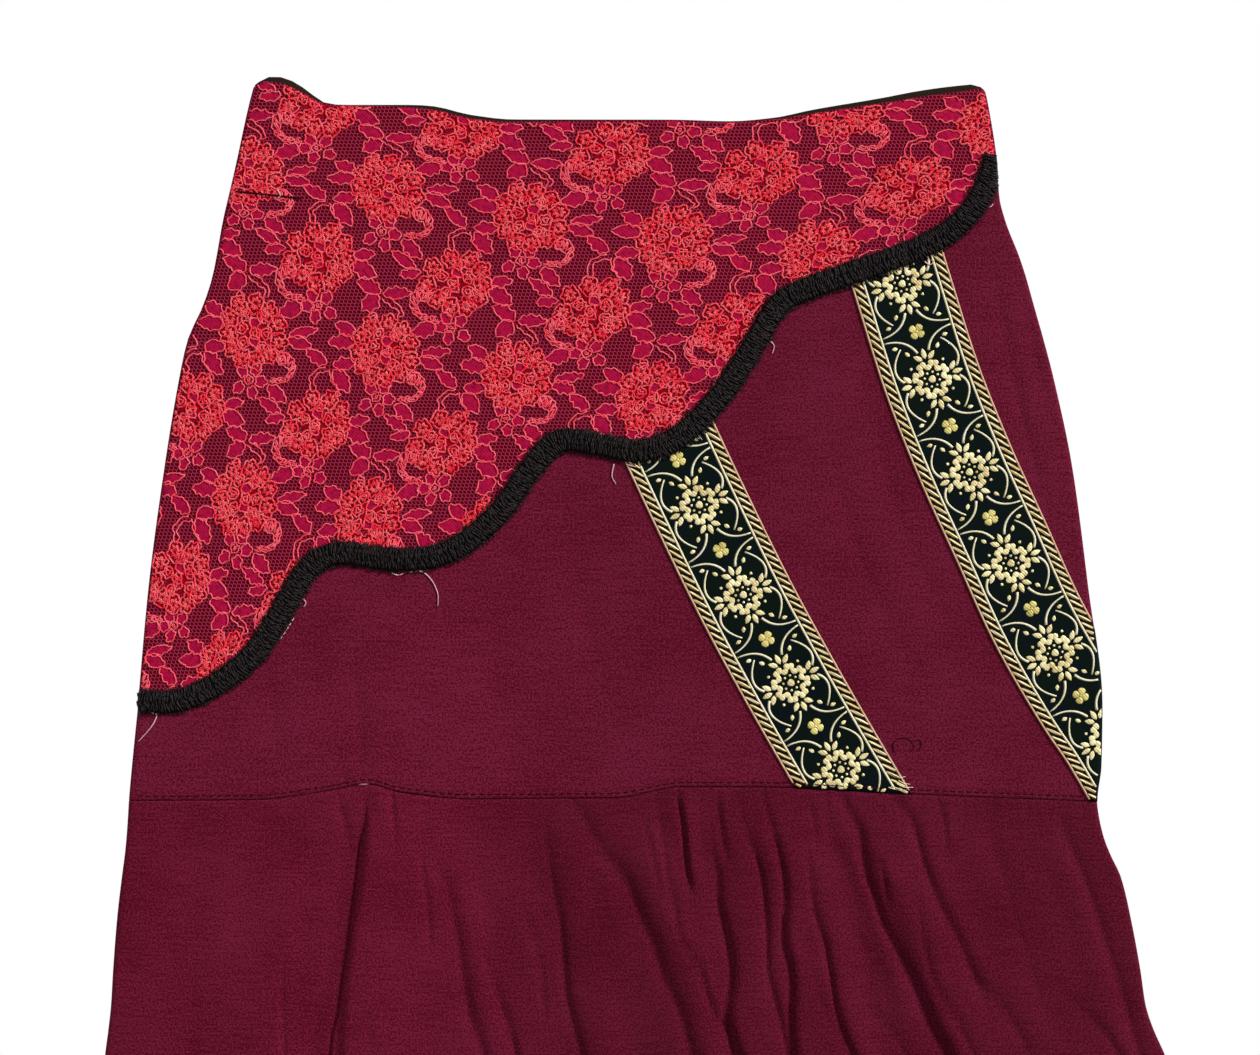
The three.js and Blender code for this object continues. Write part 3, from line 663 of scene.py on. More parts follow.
# The front tier's top surface over its grid: rest height, folds, creases, the pleat's step and the
# gathers that die out below the seam.
def tierTop(across, share, x, down):
    atSeam = swellHeight(across, 1)
    loft = garment["loft"] * np.sin(np.pi * across)
    height = 2 * garment["wall"] + garment["gap"] + lerp(loft + atSeam, loft, smoothstep(share, 0, 0.2))
    height = height + garment["foldRise"] * cloth["foldShare"] * foldAt(across, share)
    height += cloth["creaseDepth"] * creaseHeight(x, down, tierCreases)
    long, short = cloth["ripples"]
    height += long * ripple(x, down, 34, 11) + short * ripple(x, down, 11, 12)
    off = x - pleatX(down)
    lapped = np.where(off < 0, -0.4 * np.exp(off / 9), 0.6 * np.exp(-off / 22))
    lapped -= 0.9 * np.exp(-((off + 0.5) ** 2) / 0.5)
    height += cloth["pleatStep"] * lapped * smoothstep(down, 362, 384)
    belowSeam = down - seamDown(across)
    gathers = np.maximum(ripple(x, down * 0.12, 9, 21), -0.3) + 0.6 * ripple(x, down * 0.1, 5.5, 22)
    busy = 0.35 + smoothstep(across, 0.5, 0.65) * 0.65
    height += cloth["gathers"] * busy * gathers * np.exp(-belowSeam / cloth["gathersDown"])
    aboveHem = np.maximum(hemDown(across) - down, 0)
    height -= 0.15 * np.exp(-(((aboveHem - cloth["hemTurn"]) / 1.2) ** 2))
    low = cloth["troughs"]
    height = (height + low + np.sqrt((height - low) ** 2 + 0.2)) / 2
    height -= 0.9 * (1 - rollOff(belowSeam, 1.8)) + 0.7 * (1 - rollOff(aboveHem, 1.6))
    return lerp(1.3, height, rollOff(fromSide(x, down), garment["sideRound"]))


# Shares for a grid's columns, with a few close to both edges and, if given, to one place between.
def columnShares(count, width, near=None):
    edge = np.array([0.25, 0.7, 1.3, 2.1]) / width
    shares = [np.linspace(0, 1, count + 1), edge, 1 - edge]
    if near is not None:
        close = np.array([0.3, 0.6, 1.0]) / width
        shares += [near - close, [near], near + close]
    return np.unique(np.concatenate(shares).round(6))


# Shares for a grid's rows, closer at the top by a power, with a few more close to the edges.
def rowShares(count, power, extra):
    return np.unique(np.concatenate([np.linspace(0, 1, count + 1) ** power, extra]))[:, None]


# A flat back panel: rows blend evenly from its upper edge to its lower one, at backTop's height.
def backPanel(name, node, upper, lower, looks):
    across = columnShares(cloth["backColumns"], 500)[None, :]
    share = np.linspace(0, 1, cloth["backRows"] + 1)[:, None]
    down = lerp(upper(across), lower(across), share)
    x, y = placeAt(across, down)
    jersey = jerseyMaterial(name + " jersey", looks)
    piece = shell(name, x, y, backTop(x, down), 0 * x, (x, down - upper(across)), jersey, "jersey")
    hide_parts(node)
    return piece


halfGap = garment["gap"] / 2
plainBack = {key: cloth["back"][key] for key in ("colour", "shade", "sheen")}
backYoke = backPanel(
    "backYoke", "back_yoke", backWaistDown, lambda across: seamDown(across) - halfGap, cloth["back"])
backTier = backPanel(
    "backTier", "back_tier", lambda across: seamDown(across) + halfGap, hemDown, plainBack)


# The front yoke: rows blend from the waist to the seam at yokeTop's height, and its inner side lies one
# thickness of jersey lower, or just above the back where the front rolls down to it.
def frontYoke():
    across = columnShares(cloth["yokeColumns"], 480)[None, :]
    share = rowShares(cloth["yokeRows"], 1.1, [0.002, 0.004, 0.985, 0.9935, 0.996, 0.998])
    down = lerp(frontWaistDown(across), seamDown(across) - halfGap, share)
    x, y = placeAt(across, down)
    top = yokeTop(x, y)
    under = np.maximum(top - garment["jersey"], backTop(x, down) + 0.03)
    jersey = jerseyMaterial("yoke jersey", cloth["yoke"])
    piece = shell("frontYoke", x, y, top, under, (x, down), jersey, "jersey")
    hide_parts("front_yoke")
    return piece


yokePiece = frontYoke()


# The front tier, made the same way from the seam to the hem at tierTop's height.
def frontTier():
    column = columnShares(cloth["tierColumns"], 560, cloth["pleatAt"])[None, :]
    share = rowShares(cloth["tierRows"], 1.15, [0.0012, 0.003, 0.005, 0.996, 0.9985])
    # The columns are shifted so that one of them runs along the pleat.
    pleatDown = lerp(seamDown(0.24), garment["length"], share)
    pleatAcross = shareAt(pleatX(pleatDown), garment["waistY"] - pleatDown)[0]
    before, after = column / cloth["pleatAt"], (column - cloth["pleatAt"]) / (1 - cloth["pleatAt"])
    across = np.where(column < cloth["pleatAt"], pleatAcross * before, lerp(pleatAcross, 1, after))
    hem = hemDown(across) - garment["hemDrawUp"] * foldAt(across, np.ones_like(across))
    down = lerp(seamDown(across) + halfGap, hem, share)
    x, y = placeAt(across, down)
    top = tierTop(across, share + 0 * x, x, down)
    under = np.maximum(top - garment["jersey"], backTop(x, down) + 0.03)
    jersey = jerseyMaterial("tier jersey", cloth["tier"])
    piece = shell("frontTier", x, y, top, under, (lerp(-280, 280, across), down), jersey, "jersey")
    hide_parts("front_tier")
    return np.stack([x, y, top], -1)


tierPoints = frontTier()
print("jersey panels done")

# The lace: a hexagonal net, crimson filled leaves and coral cords. Two flower heads alternate from row to
# row, each with a small flower, a scroll and sprigs of leaves. Their charts are millimetres from the
# middle of the head: petals, leaves as base, tip and width, and lines as points.
lace = {
    "steps": ((70, -11.5), (-35, -34)),  # of the flat lace, from head to head across and down
    "columns": 160,
    "rows": 44,
    "netTop": 0.55,  # above the yoke
    "fillTop": 0.2,  # filling above the net
    "cordMiddle": 0.85,
    "cordStep": 1.15,
    "headCord": 0.5,  # radii
    "leafCord": 0.39,
    "petal": (4.7, 4.2),  # half length and half width
    "bud": (3.0, 2.6),
    "smallPetal": (3.2, 2.7),
    "net": {"mesh": 2.0, "hole": "#4c000e", "litHole": "#5e0016", "thread": "#98384f"},
    "headLooks": {
        "colour": "#f02c42", "lit": "#ff747c", "grooveShade": "#a80418", "twist": 1.9, "patch": 300,
        "rough": 0.6, "gloss": 0.08,
    },
    "leafLooks": {
        "colour": "#ee4a5c", "lit": "#fc7a86", "grooveShade": "#c4243a", "twist": 1.9, "patch": 260,
        "rough": 0.6, "gloss": 0.08,
    },
    "filling": {"patch": 480, "colour": "#aa0e38", "shade": "#64042c", "rough": 0.8},
    "heart": {"colour": "#900219", "shade": "#56000a", "rough": 0.8},
    "leafSize": 1.12,  # width of all leaves against the chart
}
laceCharts = {
    "right": {
        "petals": [(-7.7, 12.8), (1.2, 13.4), (8.2, 9.6), (12.8, 3.4), (13.4, -5), (8, -10.6),
            (0.8, -13), (-6.6, -12), (-11.6, -6.8), (-14, 0), (-12.8, 7.2)],
        "buds": [(-6.6, 2.4), (-3.9, 8.3), (4.8, 7.4), (6.8, -0.8), (4.2, -7), (-6, -4.6), (0.6, -0.4)],
        "openings": [(-2.6, 3.4, 4.6, 6, 4.4), (-2.4, -1.6, 3, -6.6, 4.4)],
        "leaves": [(-2.4, 28.8, -15.2, 34.6, 6), (-1.6, 28.2, 13.6, 28.6, 5.2),
            (-3.4, 27, -13, 20.2, 7.4), (-16, 8.6, -26.8, 14.6, 5.8), (-16, 4.6, -30.8, 5.6, 6.2),
            (18.6, -1.8, 34.4, 0.4, 4.6), (18.2, -3.6, 30.8, -8, 5.8), (7.2, -25.4, 18, -34, 5.8)],
        "flower": (-3.2, -22),
        "smallPetals": [(-6.6, -17.6), (1, -17.4), (3.6, -23.2), (-1.2, -28.2), (-8.8, -25.4)],
        "outer": [(12.6, -12.6), (14, -10.4), (18, -10.6), (21.2, -13.6), (22.2, -17.6), (21, -21),
            (16.4, -24.4), (8, -23.6)],
        "inner": [(13, -15), (15, -16.2), (17.6, -17), (18.8, -19.4), (16.6, -22), (9, -22)],
        "curl": (15.4, -12.8),
        "stems": [
            [(-2, 26), (-0.4, 24), (4, 21), (7, 19), (6, 16.8), (5.6, 14.8)],
            [(1.4, 26.6), (6, 23), (8.8, 19.6), (8.6, 17), (6.6, 16.2)],
            [(-5.4, 14.6), (-4.8, 16), (-5, 18)],
        ],
        "rings": [(-6.9, 17.2, 2)],
    },
    "left": {
        "petals": [(-2.9, 12), (6.6, 11.4), (12.9, 6.2), (14.4, -0.8), (12.6, -7.4), (6.4, -11.8),
            (-1.6, -12), (-8.6, -8.6), (-14.2, -1.2), (-11.4, 7.4)],
        "buds": [(-6.4, 3), (-4.2, -5.2), (6.8, 2.6), (7, -4.4), (1.8, 9), (-0.6, -0.2)],
        "openings": [(-1.2, 7.8, 3.2, 2.4, 4.6), (-2.2, -1, 2.4, -4.6, 4.2)],
        "leaves": [(18, 0.6, 29.4, 1.6, 4.8), (17.6, -3, 30.2, -9.4, 6.8), (-20, 6.4, -33, 14.8, 4.8),
            (-17.4, 4.8, -28.6, 3.2, 4.6), (-8.6, -22, -21.8, -25.8, 7), (7.6, 28, 19.8, 28.2, 5.6),
            (8, 25.6, 17.2, 14.8, 7), (4, 28.4, -7.4, 36.4, 5.4)],
        "flower": (-0.8, -22.4),
        "smallPetals": [(4, -19), (5.8, -26.2), (-2.2, -27.6), (-6.6, -22.4), (-3.6, -17.8)],
        "outer": [(-11, -6.4), (-13.6, -3.4), (-18.4, -3.2), (-22, -7), (-22.4, -12), (-19.6, -16.6),
            (-14.4, -19.2), (-7.2, -19.6)],
        "inner": [(-14.6, -10), (-18, -9.4), (-18.6, -12.6), (-16.8, -15.4), (-13, -17), (-8.6, -17.2)],
        "curl": (-14.6, -6.8),
        "stems": [
            [(3.6, 27.4), (-1.4, 26), (-4.8, 22.8), (-4.6, 19.6), (-3.4, 15.6)],
            [(5.4, 24.8), (1.4, 24.8), (-1.8, 23), (-2.6, 20.6), (-1.4, 18.2), (-1.8, 15.2)],
            [(5.8, 25.8), (7, 20.6), (10.2, 17.4), (11.4, 15.4)],
        ],
        "rings": [(10.9, 14, 1.4)],
    },
}


# Points turned anticlockwise about the origin.
def turned(points, degrees):
    a = np.radians(degrees)
    return points @ np.array([[np.cos(a), np.sin(a)], [-np.sin(a), np.cos(a)]])


# A leaf's outline, pointed at both ends: half width = width / 2 sin(pi share^0.85)^0.8.
def leafOutline(x, y, degrees, length, width, count=11):
    share = np.abs(np.linspace(-1, 1, count))
    side = np.sign(np.linspace(-1, 1, count)) * width / 2 * np.abs(np.sin(np.pi * share**0.85)) ** 0.8
    return turned(np.stack([share * length, side], -1), degrees) + (x, y)


# The same between two places, with a slightly wavy edge.
def leafBetween(x, y, tipX, tipY, width, count):
    length = np.hypot(tipX - x, tipY - y)
    line = leafOutline(0, 0, 0, length, width * lace["leafSize"], count)
    line[:, 1] *= 1 + 0.13 * np.sin(2 * np.pi * line[:, 0] / 4.4 + x)
    return turned(line, np.degrees(np.arctan2(tipY - y, tipX - x))) + (x, y)


# A petal's outline at a distance and direction from the flower's middle: an ellipse whose half width is
# multiplied by 1 + 0.28 cos t, so that it narrows towards the flower.
def petalOutline(far, degrees, length, width):
    t = np.linspace(0, 2 * np.pi, 11)
    along = far + length / 2 * np.cos(t)
    side = width / 2 * np.sin(t) * (1 + 0.28 * np.cos(t))
    return turned(np.stack([along, side], -1), degrees)


# A closed ruffled loop: an ellipse whose radius swings by a share, so many times round.
def ruffledLoop(x, y, halfX, halfY, degrees, swing=0.0, swings=0, step=None):
    around = np.pi * (halfX + halfY) * (1 + 0.35 * swing * swings)
    count = int(around / (step or lace["cordStep"])) + 4
    t = np.linspace(0, 2 * np.pi, count)
    reach = 1 + swing * np.cos(swings * t)
    return turned(np.stack([halfX * reach * np.cos(t), halfY * reach * np.sin(t)], -1), degrees) + (x, y)


# Direction in degrees from a centre to a middle.
def outwards(middle, centre=(0, 0)):
    return np.degrees(np.arctan2(middle[1] - centre[1], middle[0] - centre[0]))


# Cords of one flower head: each petal has a lobed edge and a thread zigzagging to and from its middle.
def headCords(chart):
    lines = []
    for k, middle in enumerate(chart["petals"]):
        along, wide = lace["petal"]
        turn = outwards(middle) + 15 * (-1) ** k
        lines.append(ruffledLoop(*middle, along, wide, turn, 0.12, 5 + k % 2))
        lines.append(ruffledLoop(*middle, along * 0.44, wide * 0.44, turn, 0.64, 7 + k % 3, 1.1))
    for k, middle in enumerate(chart["buds"]):
        along, wide = lace["bud"]
        lines.append(ruffledLoop(*middle, along, wide, 50 * k, 0.1, 4))
        lines.append(ruffledLoop(*middle, along * 0.45, wide * 0.45, 50 * k, 0.4, 3))
    for opening in chart["openings"]:
        lines.append(leafBetween(*opening, int(14 / lace["cordStep"])))
    return lines


# Cords round the leaves, the small flower, the scroll with its zigzag thread, and the stems.
def outlineCords(chart):
    step = lace["cordStep"]
    lines = []
    for x, y, tipX, tipY, width in chart["leaves"]:
        lines.append(leafBetween(x, y, tipX, tipY, width, int(2.2 * np.hypot(tipX - x, tipY - y) / step)))
    for middle in chart["smallPetals"]:
        lines.append(ruffledLoop(*middle, *lace["smallPetal"], outwards(middle, chart["flower"]), 0.05, 3))
    lines.append(ruffledLoop(*chart["flower"], 2.3, 2.1, 0, 0.1, 5))
    lines.append(ruffledLoop(*chart["flower"], 0.8, 0.8, 0))
    lines += [ruffledLoop(*chart["curl"], 3.2, 2.9, 20, 0.06, 5), ruffledLoop(*chart["curl"], 1.4, 1.3, 0)]
    lines += [ruffledLoop(x, y, size, size * 0.9, 0) for x, y, size in chart["rings"]]
    lines += [smoothLine(chart["outer"], int(36 / step)), smoothLine(chart["inner"], int(20 / step))]
    many = int(74 / step)
    swing = 0.5 + 0.42 * np.sin(2 * np.pi * 11 * np.linspace(0, 1, many))[:, None]
    lines.append(lerp(smoothLine(chart["outer"], many), smoothLine(chart["inner"], many), swing))
    lines += [smoothLine(stem, int(14 / step)) for stem in chart["stems"]]
    return lines


# Flower heads as they lie on the skirt: column, row, then x and y of the middle. The lace was eased on by
# hand, so that its rows drift; between and beyond these it follows a quadratic through them.
laceHeads = np.array([
    (-1, -1, -185, 375.5), (0, -1, -113.5, 362.5), (1, -1, -39, 350), (2, -1, 35, 341), (3, -1, 110, 335),
    (2, -2, 78, 376), (-1, 0, -220, 341), (0, 0, -150, 337), (1, 0, -78, 318), (2, 0, -7, 307),
    (3, 0, 65, 300.5), (0, 1, -185, 300), (1, 1, -117, 287), (2, 1, -49, 271.5), (3, 1, 23, 265),
    (0, 2, -217, 261), (1, 2, -151, 253.5), (2, 2, -85, 239), (3, 2, -18, 229), (0, 3, -247.5, 223.5),
    (1, 3, -186, 215.5), (2, 3, -123, 207.5), (1, 4, -222, 179), (2, 4, -159, 171), (1, 5, -255, 138),
    (2, 5, -196, 129), (2, 6, -230, 94),
])


# Terms of a quadratic in a head's column and row.
def driftTerms(m, n):
    return np.stack([np.ones_like(m), m, n, m * m, m * n, n * n], -1)


headTerms = driftTerms(laceHeads[:, 0], laceHeads[:, 1])
laceDrift = np.linalg.lstsq(headTerms, laceHeads[:, 2:], rcond=None)[0]
headsOff = laceHeads[:, 2:] - headTerms @ laceDrift


# Places of the flat lace as they lie on the skirt; near a head its own small shift is added.
def easedLace(x, y):
    m, n = np.moveaxis(np.stack([x, y], -1) @ np.linalg.inv(np.array(lace["steps"])), -1, 0)
    near = np.exp(-((m[..., None] - laceHeads[:, 0]) ** 2 + (n[..., None] - laceHeads[:, 1]) ** 2) / 0.4)
    place = driftTerms(m, n) @ laceDrift + near @ headsOff / (near.sum(-1, keepdims=True) + 0.15)
    return place[..., 0], place[..., 1]


# Middles of the flower heads of the chosen rows on the flat lace.
def laceMiddles(side):
    m, n = [g.ravel() for g in np.meshgrid(np.arange(-3, 7), np.arange(-3, 9))]
    rows = n % 2 == (0 if side == "right" else 1)
    return np.stack([m[rows], n[rows]], -1) @ np.array(lace["steps"])


# True where the lace lies: inside both sides, below the waist and above the scalloped edge.
def inLace(x, y):
    across, down = shareAt(x, y)
    inside = (fromSide(x, down) > 1.0) & (down > frontWaistDown(across) + 0.8)
    return inside & (y > scallopY(x) - 1)


# The nearest place of the lace in the same column.
def intoLace(x, y):
    for _ in range(2):
        down = garment["waistY"] - y
        x = np.clip(x, leftSide(down) + 0.9, rightSide(down) - 0.9)
        across, _ = shareAt(x, y)
        y = np.clip(y, scallopY(x) - 1, garment["waistY"] - frontWaistDown(across) - 0.7)
    return x, y


# The net, a shell 0.3 mm thick above the yoke. Its rows blend from the waist to where each column, found
# by halving, meets the scalloped edge.
def laceNet():
    across = columnShares(lace["columns"], 400)[None, :]
    top, low = frontWaistDown(across), seamDown(across)
    before, edge = top + 0 * low, low + 0 * top
    for _ in range(24):  # halves the way to the scalloped edge
        middle = (before + edge) / 2
        x, y = placeAt(across, middle)
        past = y < scallopY(x)
        before, edge = np.where(past, before, middle), np.where(past, middle, edge)
    share = np.unique(np.append(np.linspace(0, 1, lace["rows"] + 1), [0.004, 0.008]))[:, None]
    down = lerp(top + 0.1, edge, share)
    x, y = placeAt(across, down)
    under = yokeTop(x, y) + garment["gap"]
    uv = (x + 0.3 * y, y)
    piece = shell("laceNet", x, y, under + 0.3, under, uv, netMaterial(lace["net"]), "lace")
    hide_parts("lace_overlay")
    return piece


# The same outline at every middle, as (middles, points, 2).
def repeated(line, middles):
    spots = middles[:, None] + line[None]
    return np.stack(easedLace(spots[..., 0], spots[..., 1]), -1)


# The filled shapes: low pads inside the leaves and small petals, and lower ones under the large heads.
def laceFillings():
    leafShapes, heartShapes = [], []
    for side, chart in laceCharts.items():
        for part in chart["leaves"] + chart["openings"]:
            leafShapes.append((side, leafBetween(*part, 13)[:-1]))
        for middle in chart["smallPetals"]:
            loop = ruffledLoop(*middle, *lace["smallPetal"], outwards(middle, chart["flower"]), step=1.55)
            leafShapes.append((side, loop[:-1]))
        for middle in chart["petals"] + [chart["curl"]]:
            loop = ruffledLoop(*middle, *lace["petal"], outwards(middle), step=2.4)
            heartShapes.append((side, loop[:-1]))
        heartShapes.append((side, ruffledLoop(0, 0, 9, 8.5, 0, step=4.2)[:-1]))
    fillings = []
    for name, shapes, high, looks in (
        ("laceLeaves", leafShapes, lace["fillTop"], lace["filling"]),
        ("laceHearts", heartShapes, 0.1, lace["heart"]),
    ):
        bodies = []
        for side, shape in shapes:
            outlines = repeated(shape, laceMiddles(side))
            centre = outlines.mean(1)
            outlines = outlines[inLace(centre[:, 0], centre[:, 1])]
            bodies.append(pads(outlines, yokeTop, lace["netTop"], high, intoLace))
        stitch = fillingMaterial(name + " cloth stitch", looks)
        fillings.append(makePiece(name, *joined(bodies), stitch, "lace"))
    return fillings


# All cords of one kind, swaying a little to the sides as a laid cord does and passing over each other.
def laceCordPiece(name, cords, radius, sway, looks, seed):
    dice = np.random.default_rng(seed)
    points, runs, heights, base = [], [], [], 0
    for side, chart in laceCharts.items():
        for line in cords(chart):
            spots = repeated(line, laceMiddles(side))
            way = np.gradient(spots, axis=1)
            out = np.stack([-way[..., 1], way[..., 0]], -1)
            out /= np.maximum(np.linalg.norm(out, axis=2, keepdims=True), 1e-6)
            far = np.arange(line.shape[0]) * lace["cordStep"]
            phase = dice.uniform(0, 2 * np.pi, (len(spots), 1))
            swing = np.sin(2 * np.pi * far / 4.3 + phase) + 0.6 * np.sin(2 * np.pi * far / 2.9 + 2 * phase)
            points.append((spots + out * sway * swing[..., None]).reshape(-1, 2))
            heights.append((0.14 * np.sin(2 * np.pi * far / 3.7 + 3 * phase)).ravel())
            runs.append(np.repeat(np.arange(len(spots)), line.shape[0]) + base)
            base += len(spots)
    points, runs, heights = np.concatenate(points), np.concatenate(runs), np.concatenate(heights)
    points, runs, keep = clipped(points, runs, inLace(points[:, 0], points[:, 1]))
    z = yokeTop(points[:, 0], points[:, 1]) + lace["cordMiddle"] + heights[keep]
    body = tubes(np.column_stack([points, z]), runs, radius)
    return makePiece(name, *body, yarnMaterial(name + " viscose cord", looks), "lace")


netPiece = laceNet()
lacePieces = [
    *laceFillings(),
    laceCordPiece("laceHeadCords", headCords, lace["headCord"], 0.3, lace["headLooks"], 5),
    laceCordPiece("laceLeafCords", outlineCords, lace["leafCord"], 0.36, lace["leafLooks"], 6),
]
print("lace done")

# The braid: looped gimp of black yarn. Short loops stand densely across it, some leaning one way and some
# the other, and stick out unevenly along both edges.
braid = {
    "width": 11.5,
    "pitch": 1.2,  # loops of one row
    "yarn": 0.36,
    "high": 1.3,  # loops above the braid's base
    "picotPitch": 1.15,
    "overLace": 1.25,  # undersides above the yoke
    "overRibbon": 0.95,
    "base": {
        "colour": "#060405", "lit": "#0c080a", "grooveShade": "#020101", "twist": 3, "patch": 200,
        "rough": 0.8, "gloss": 0.1,
    },
    "loops": {
        "colour": "#090504", "lit": "#34292b", "grooveShade": "#030202", "twist": 1.6, "patch": 620,
        "rough": 0.4, "gloss": 0.16,
    },
}
ribbonRows = {
    "centre": [(173, -14), (212, 4.3), (262, 28.8), (302, 50.5), (342, 73.5), (380, 96)],
    "side": [(68, 96), (112, 109.3), (152, 122), (192, 137.8), (232, 156), (272, 174.3), (312, 197.5),
        (332, 211), (380, 238)],
}
ribbon = {
    "width": 48.5,
    "repeat": 50,
    "flowerDown": {"centre": 214.5, "side": 104},  # how far down one large flower lies
    "rows": 130,
    "columns": 14,
    "thick": 0.45,
    "ropePitch": 4.5,
    "ropeRise": 6.6,  # how far a rope strand runs along the ribbon while it crosses the border
    "ropesFrom": (-23.4, 18.9),  # where the two borders begin, from the ribbon's middle
    "ropeWidth": 4.5,
    "innerLine": 18.2,  # lines' distances from the middle
    "edgeLine": 23.95,
}


# True where a ribbon lies.
def onRibbon(x, y):
    down = garment["waistY"] - y
    found = np.zeros(np.broadcast(x, y).shape, bool)
    for rows in ribbonRows.values():
        middle = throughRows(rows)
        half = ribbon["width"] / 2 * np.hypot(1, middle(down + 0.5) - middle(down - 0.5))
        found |= (np.abs(x - middle(down)) < half) & (down > rows[0][0])
    return found & (y < scallopY(x) + 2)


# Top of what lies on the yoke at a place: lace, ribbon or the bare jersey.
def coveredTop(x, y):
    onLace = y > scallopY(x)
    onYoke = np.where(onRibbon(x, y), braid["overRibbon"], 0.1)
    return yokeTop(x, y) + np.where(onLace, braid["overLace"], onYoke)


# Points at given distances along the scalloped line and off it, positive below.
def besideScallops(far, off):
    steps = distances(scallopLine)
    way = np.gradient(scallopLine, axis=0)
    way /= np.linalg.norm(way, axis=1, keepdims=True)
    x, y, wx, wy = [np.interp(far, steps, v) for v in (*scallopLine.T, *way.T)]
    return x + wy * off, y - wx * off


scallopLength = np.linalg.norm(np.diff(scallopLine, axis=0), axis=1).sum()


# The braid's base, a domed strip along the scalloped edge: its top rises as a quarter circle from both
# edges, and its underside steps down from the lace to what lies below it.
def braidBase():
    far = np.linspace(0, scallopLength, 420)[None, :]
    off = np.linspace(-1, 1, 9)[:, None]
    x, y = besideScallops(far, off * braid["width"] / 2 * 0.93)
    down = garment["waistY"] - y
    x = np.clip(x, leftSide(down) + 0.4 + 0.01 * off, rightSide(down) - 0.4 + 0.01 * off)
    low = yokeTop(x, y) + lerp(braid["overLace"], 0.5, smoothstep(off, -0.2, 1))
    low = np.maximum(low, coveredTop(x, y) + 0.05)
    top = low + 0.25 + 1.0 * rollOff(1 - np.abs(off), 0.7)
    ground = yarnMaterial("black viscose braid ground", braid["base"])
    piece = shell("braidBase", x, y, top, low, (off * braid["width"] / 2, far), ground, "braid")
    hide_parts("scallop_braid")


# One row of arched loops: from the inner to the outer offset, leaning along the braid.
def loopRow(pitch, inner, outer, lean, high, radius, seed, count):
    dice = np.random.default_rng(seed)
    starts = np.arange(0.6, scallopLength - 0.6, pitch)
    n = len(starts)
    t = np.linspace(0, 1, count)[None, :]
    reach = lerp(inner, outer * dice.uniform(0.86, 1.08, (n, 1)), t)
    far = starts[:, None] + dice.normal(0, pitch * 0.3, (n, 1))
    far = far + lean * dice.uniform(-0.8, 1.8, (n, 1)) * t
    x, y = besideScallops(far, reach)
    low = yokeTop(x, y) + lerp(1.55, 0.75, smoothstep(reach / braid["width"] * 2, -0.2, 1))
    low = np.maximum(low, coveredTop(x, y) + 0.35)
    z = low + high * dice.uniform(0.75, 1.15, (n, 1)) * np.sin(np.pi * lerp(0.12, 0.95, t)) ** 0.8
    points = np.stack([x, y, z], -1).reshape(-1, 3)
    runs = np.repeat(np.arange(n), count)
    inside = fromSide(points[:, 0], garment["waistY"] - points[:, 1]) > 0.2
    points, runs, _ = clipped(points, runs, inside)
    return tubes(points, runs, radius)


# Two rows of long loops, four of short ones leaning back over them, and the picots of both edges.
def braidLoops():
    half, pitch, high, yarn = braid["width"] / 2, braid["pitch"], braid["high"], braid["yarn"]
    bodies = [
        loopRow(pitch, -0.4, -half * 0.97, 1.1, high, yarn, 1, 5),
        loopRow(pitch, 0.4, half * 0.97, 1.1, high, yarn, 2, 5),
        loopRow(pitch, -half * 0.55, half * 0.2, -1.0, high + 0.25, yarn, 3, 5),
        loopRow(pitch, half * 0.55, -half * 0.2, -1.0, high + 0.25, yarn, 4, 5),
        loopRow(pitch * 1.3, -half * 0.95, -half * 0.35, -0.8, high + 0.1, yarn, 5, 4),
        loopRow(pitch * 1.3, half * 0.95, half * 0.35, -0.8, high + 0.1, yarn, 6, 4),
        loopRow(braid["picotPitch"], half * 0.7, half + 1.3, 0.5, 0.2, yarn * 0.85, 7, 4),
        loopRow(braid["picotPitch"], -half * 0.75, -half - 1.0, 0.5, 0.3, yarn * 0.8, 8, 4),
    ]
    yarn = yarnMaterial("shiny black viscose yarn", braid["loops"])
    makePiece("braidLoops", *joined(bodies), yarn, "braid")


braidBase()
braidLoops()
print("braid done")

# The ribbons: jacquard woven, gold on black-green, with rope borders. Their repeat is charted in
# millimetres across from the middle and along from a large flower.
woven = {
    "satin": {
        "borderFrom": 18.6, "green": "#08170d", "blue": "#07121b", "brown": "#180c03", "pickShade": "#020504",
    },
    "gold": {"colour": "#f1e6b4", "shade": "#a48d50", "rough": 0.45, "metal": 0.1, "gloss": 0.2},
    "olive": {"colour": "#e0d285", "shade": "#8a7a35", "rough": 0.45, "metal": 0.1, "gloss": 0.2},
    "line": {
        "colour": "#e9e2bb", "lit": "#f8f4dc", "grooveShade": "#a99a6c", "twist": 1.4, "patch": 300,
        "rough": 0.5, "gloss": 0.5,
    },
    "rope": {
        "colour": "#d9c07a", "lit": "#f6ebbf", "grooveShade": "#8f6f37", "twist": 40, "patch": 300,
        "rough": 0.5, "gloss": 0.5,
    },
    "edge": {
        "colour": "#d6a98a", "lit": "#e6c6a4", "grooveShade": "#8d6546", "twist": 1.2, "patch": 300,
        "rough": 0.6, "gloss": 0.3,
    },
}


# Lengths along a ribbon's middle line and the places there.
def ribbonLine(which):
    rows = ribbonRows[which]
    down = np.linspace(rows[0][0], rows[-1][0], 600)
    x = throughRows(rows)(down)
    far = np.append(0, np.cumsum(np.hypot(np.diff(down), np.diff(x))))
    return far - np.interp(ribbon["flowerDown"][which], down, far), down, x


# x and y of a place given across and along the ribbon.
def ribbonPlace(which, across, along):
    far, down, x = ribbonLine(which)
    slope = np.gradient(x, down)
    d, mx, s = [np.interp(along, far, v) for v in (down, x, slope)]
    long = np.hypot(1, s)
    return mx + across / long, garment["waistY"] - d + across * s / long


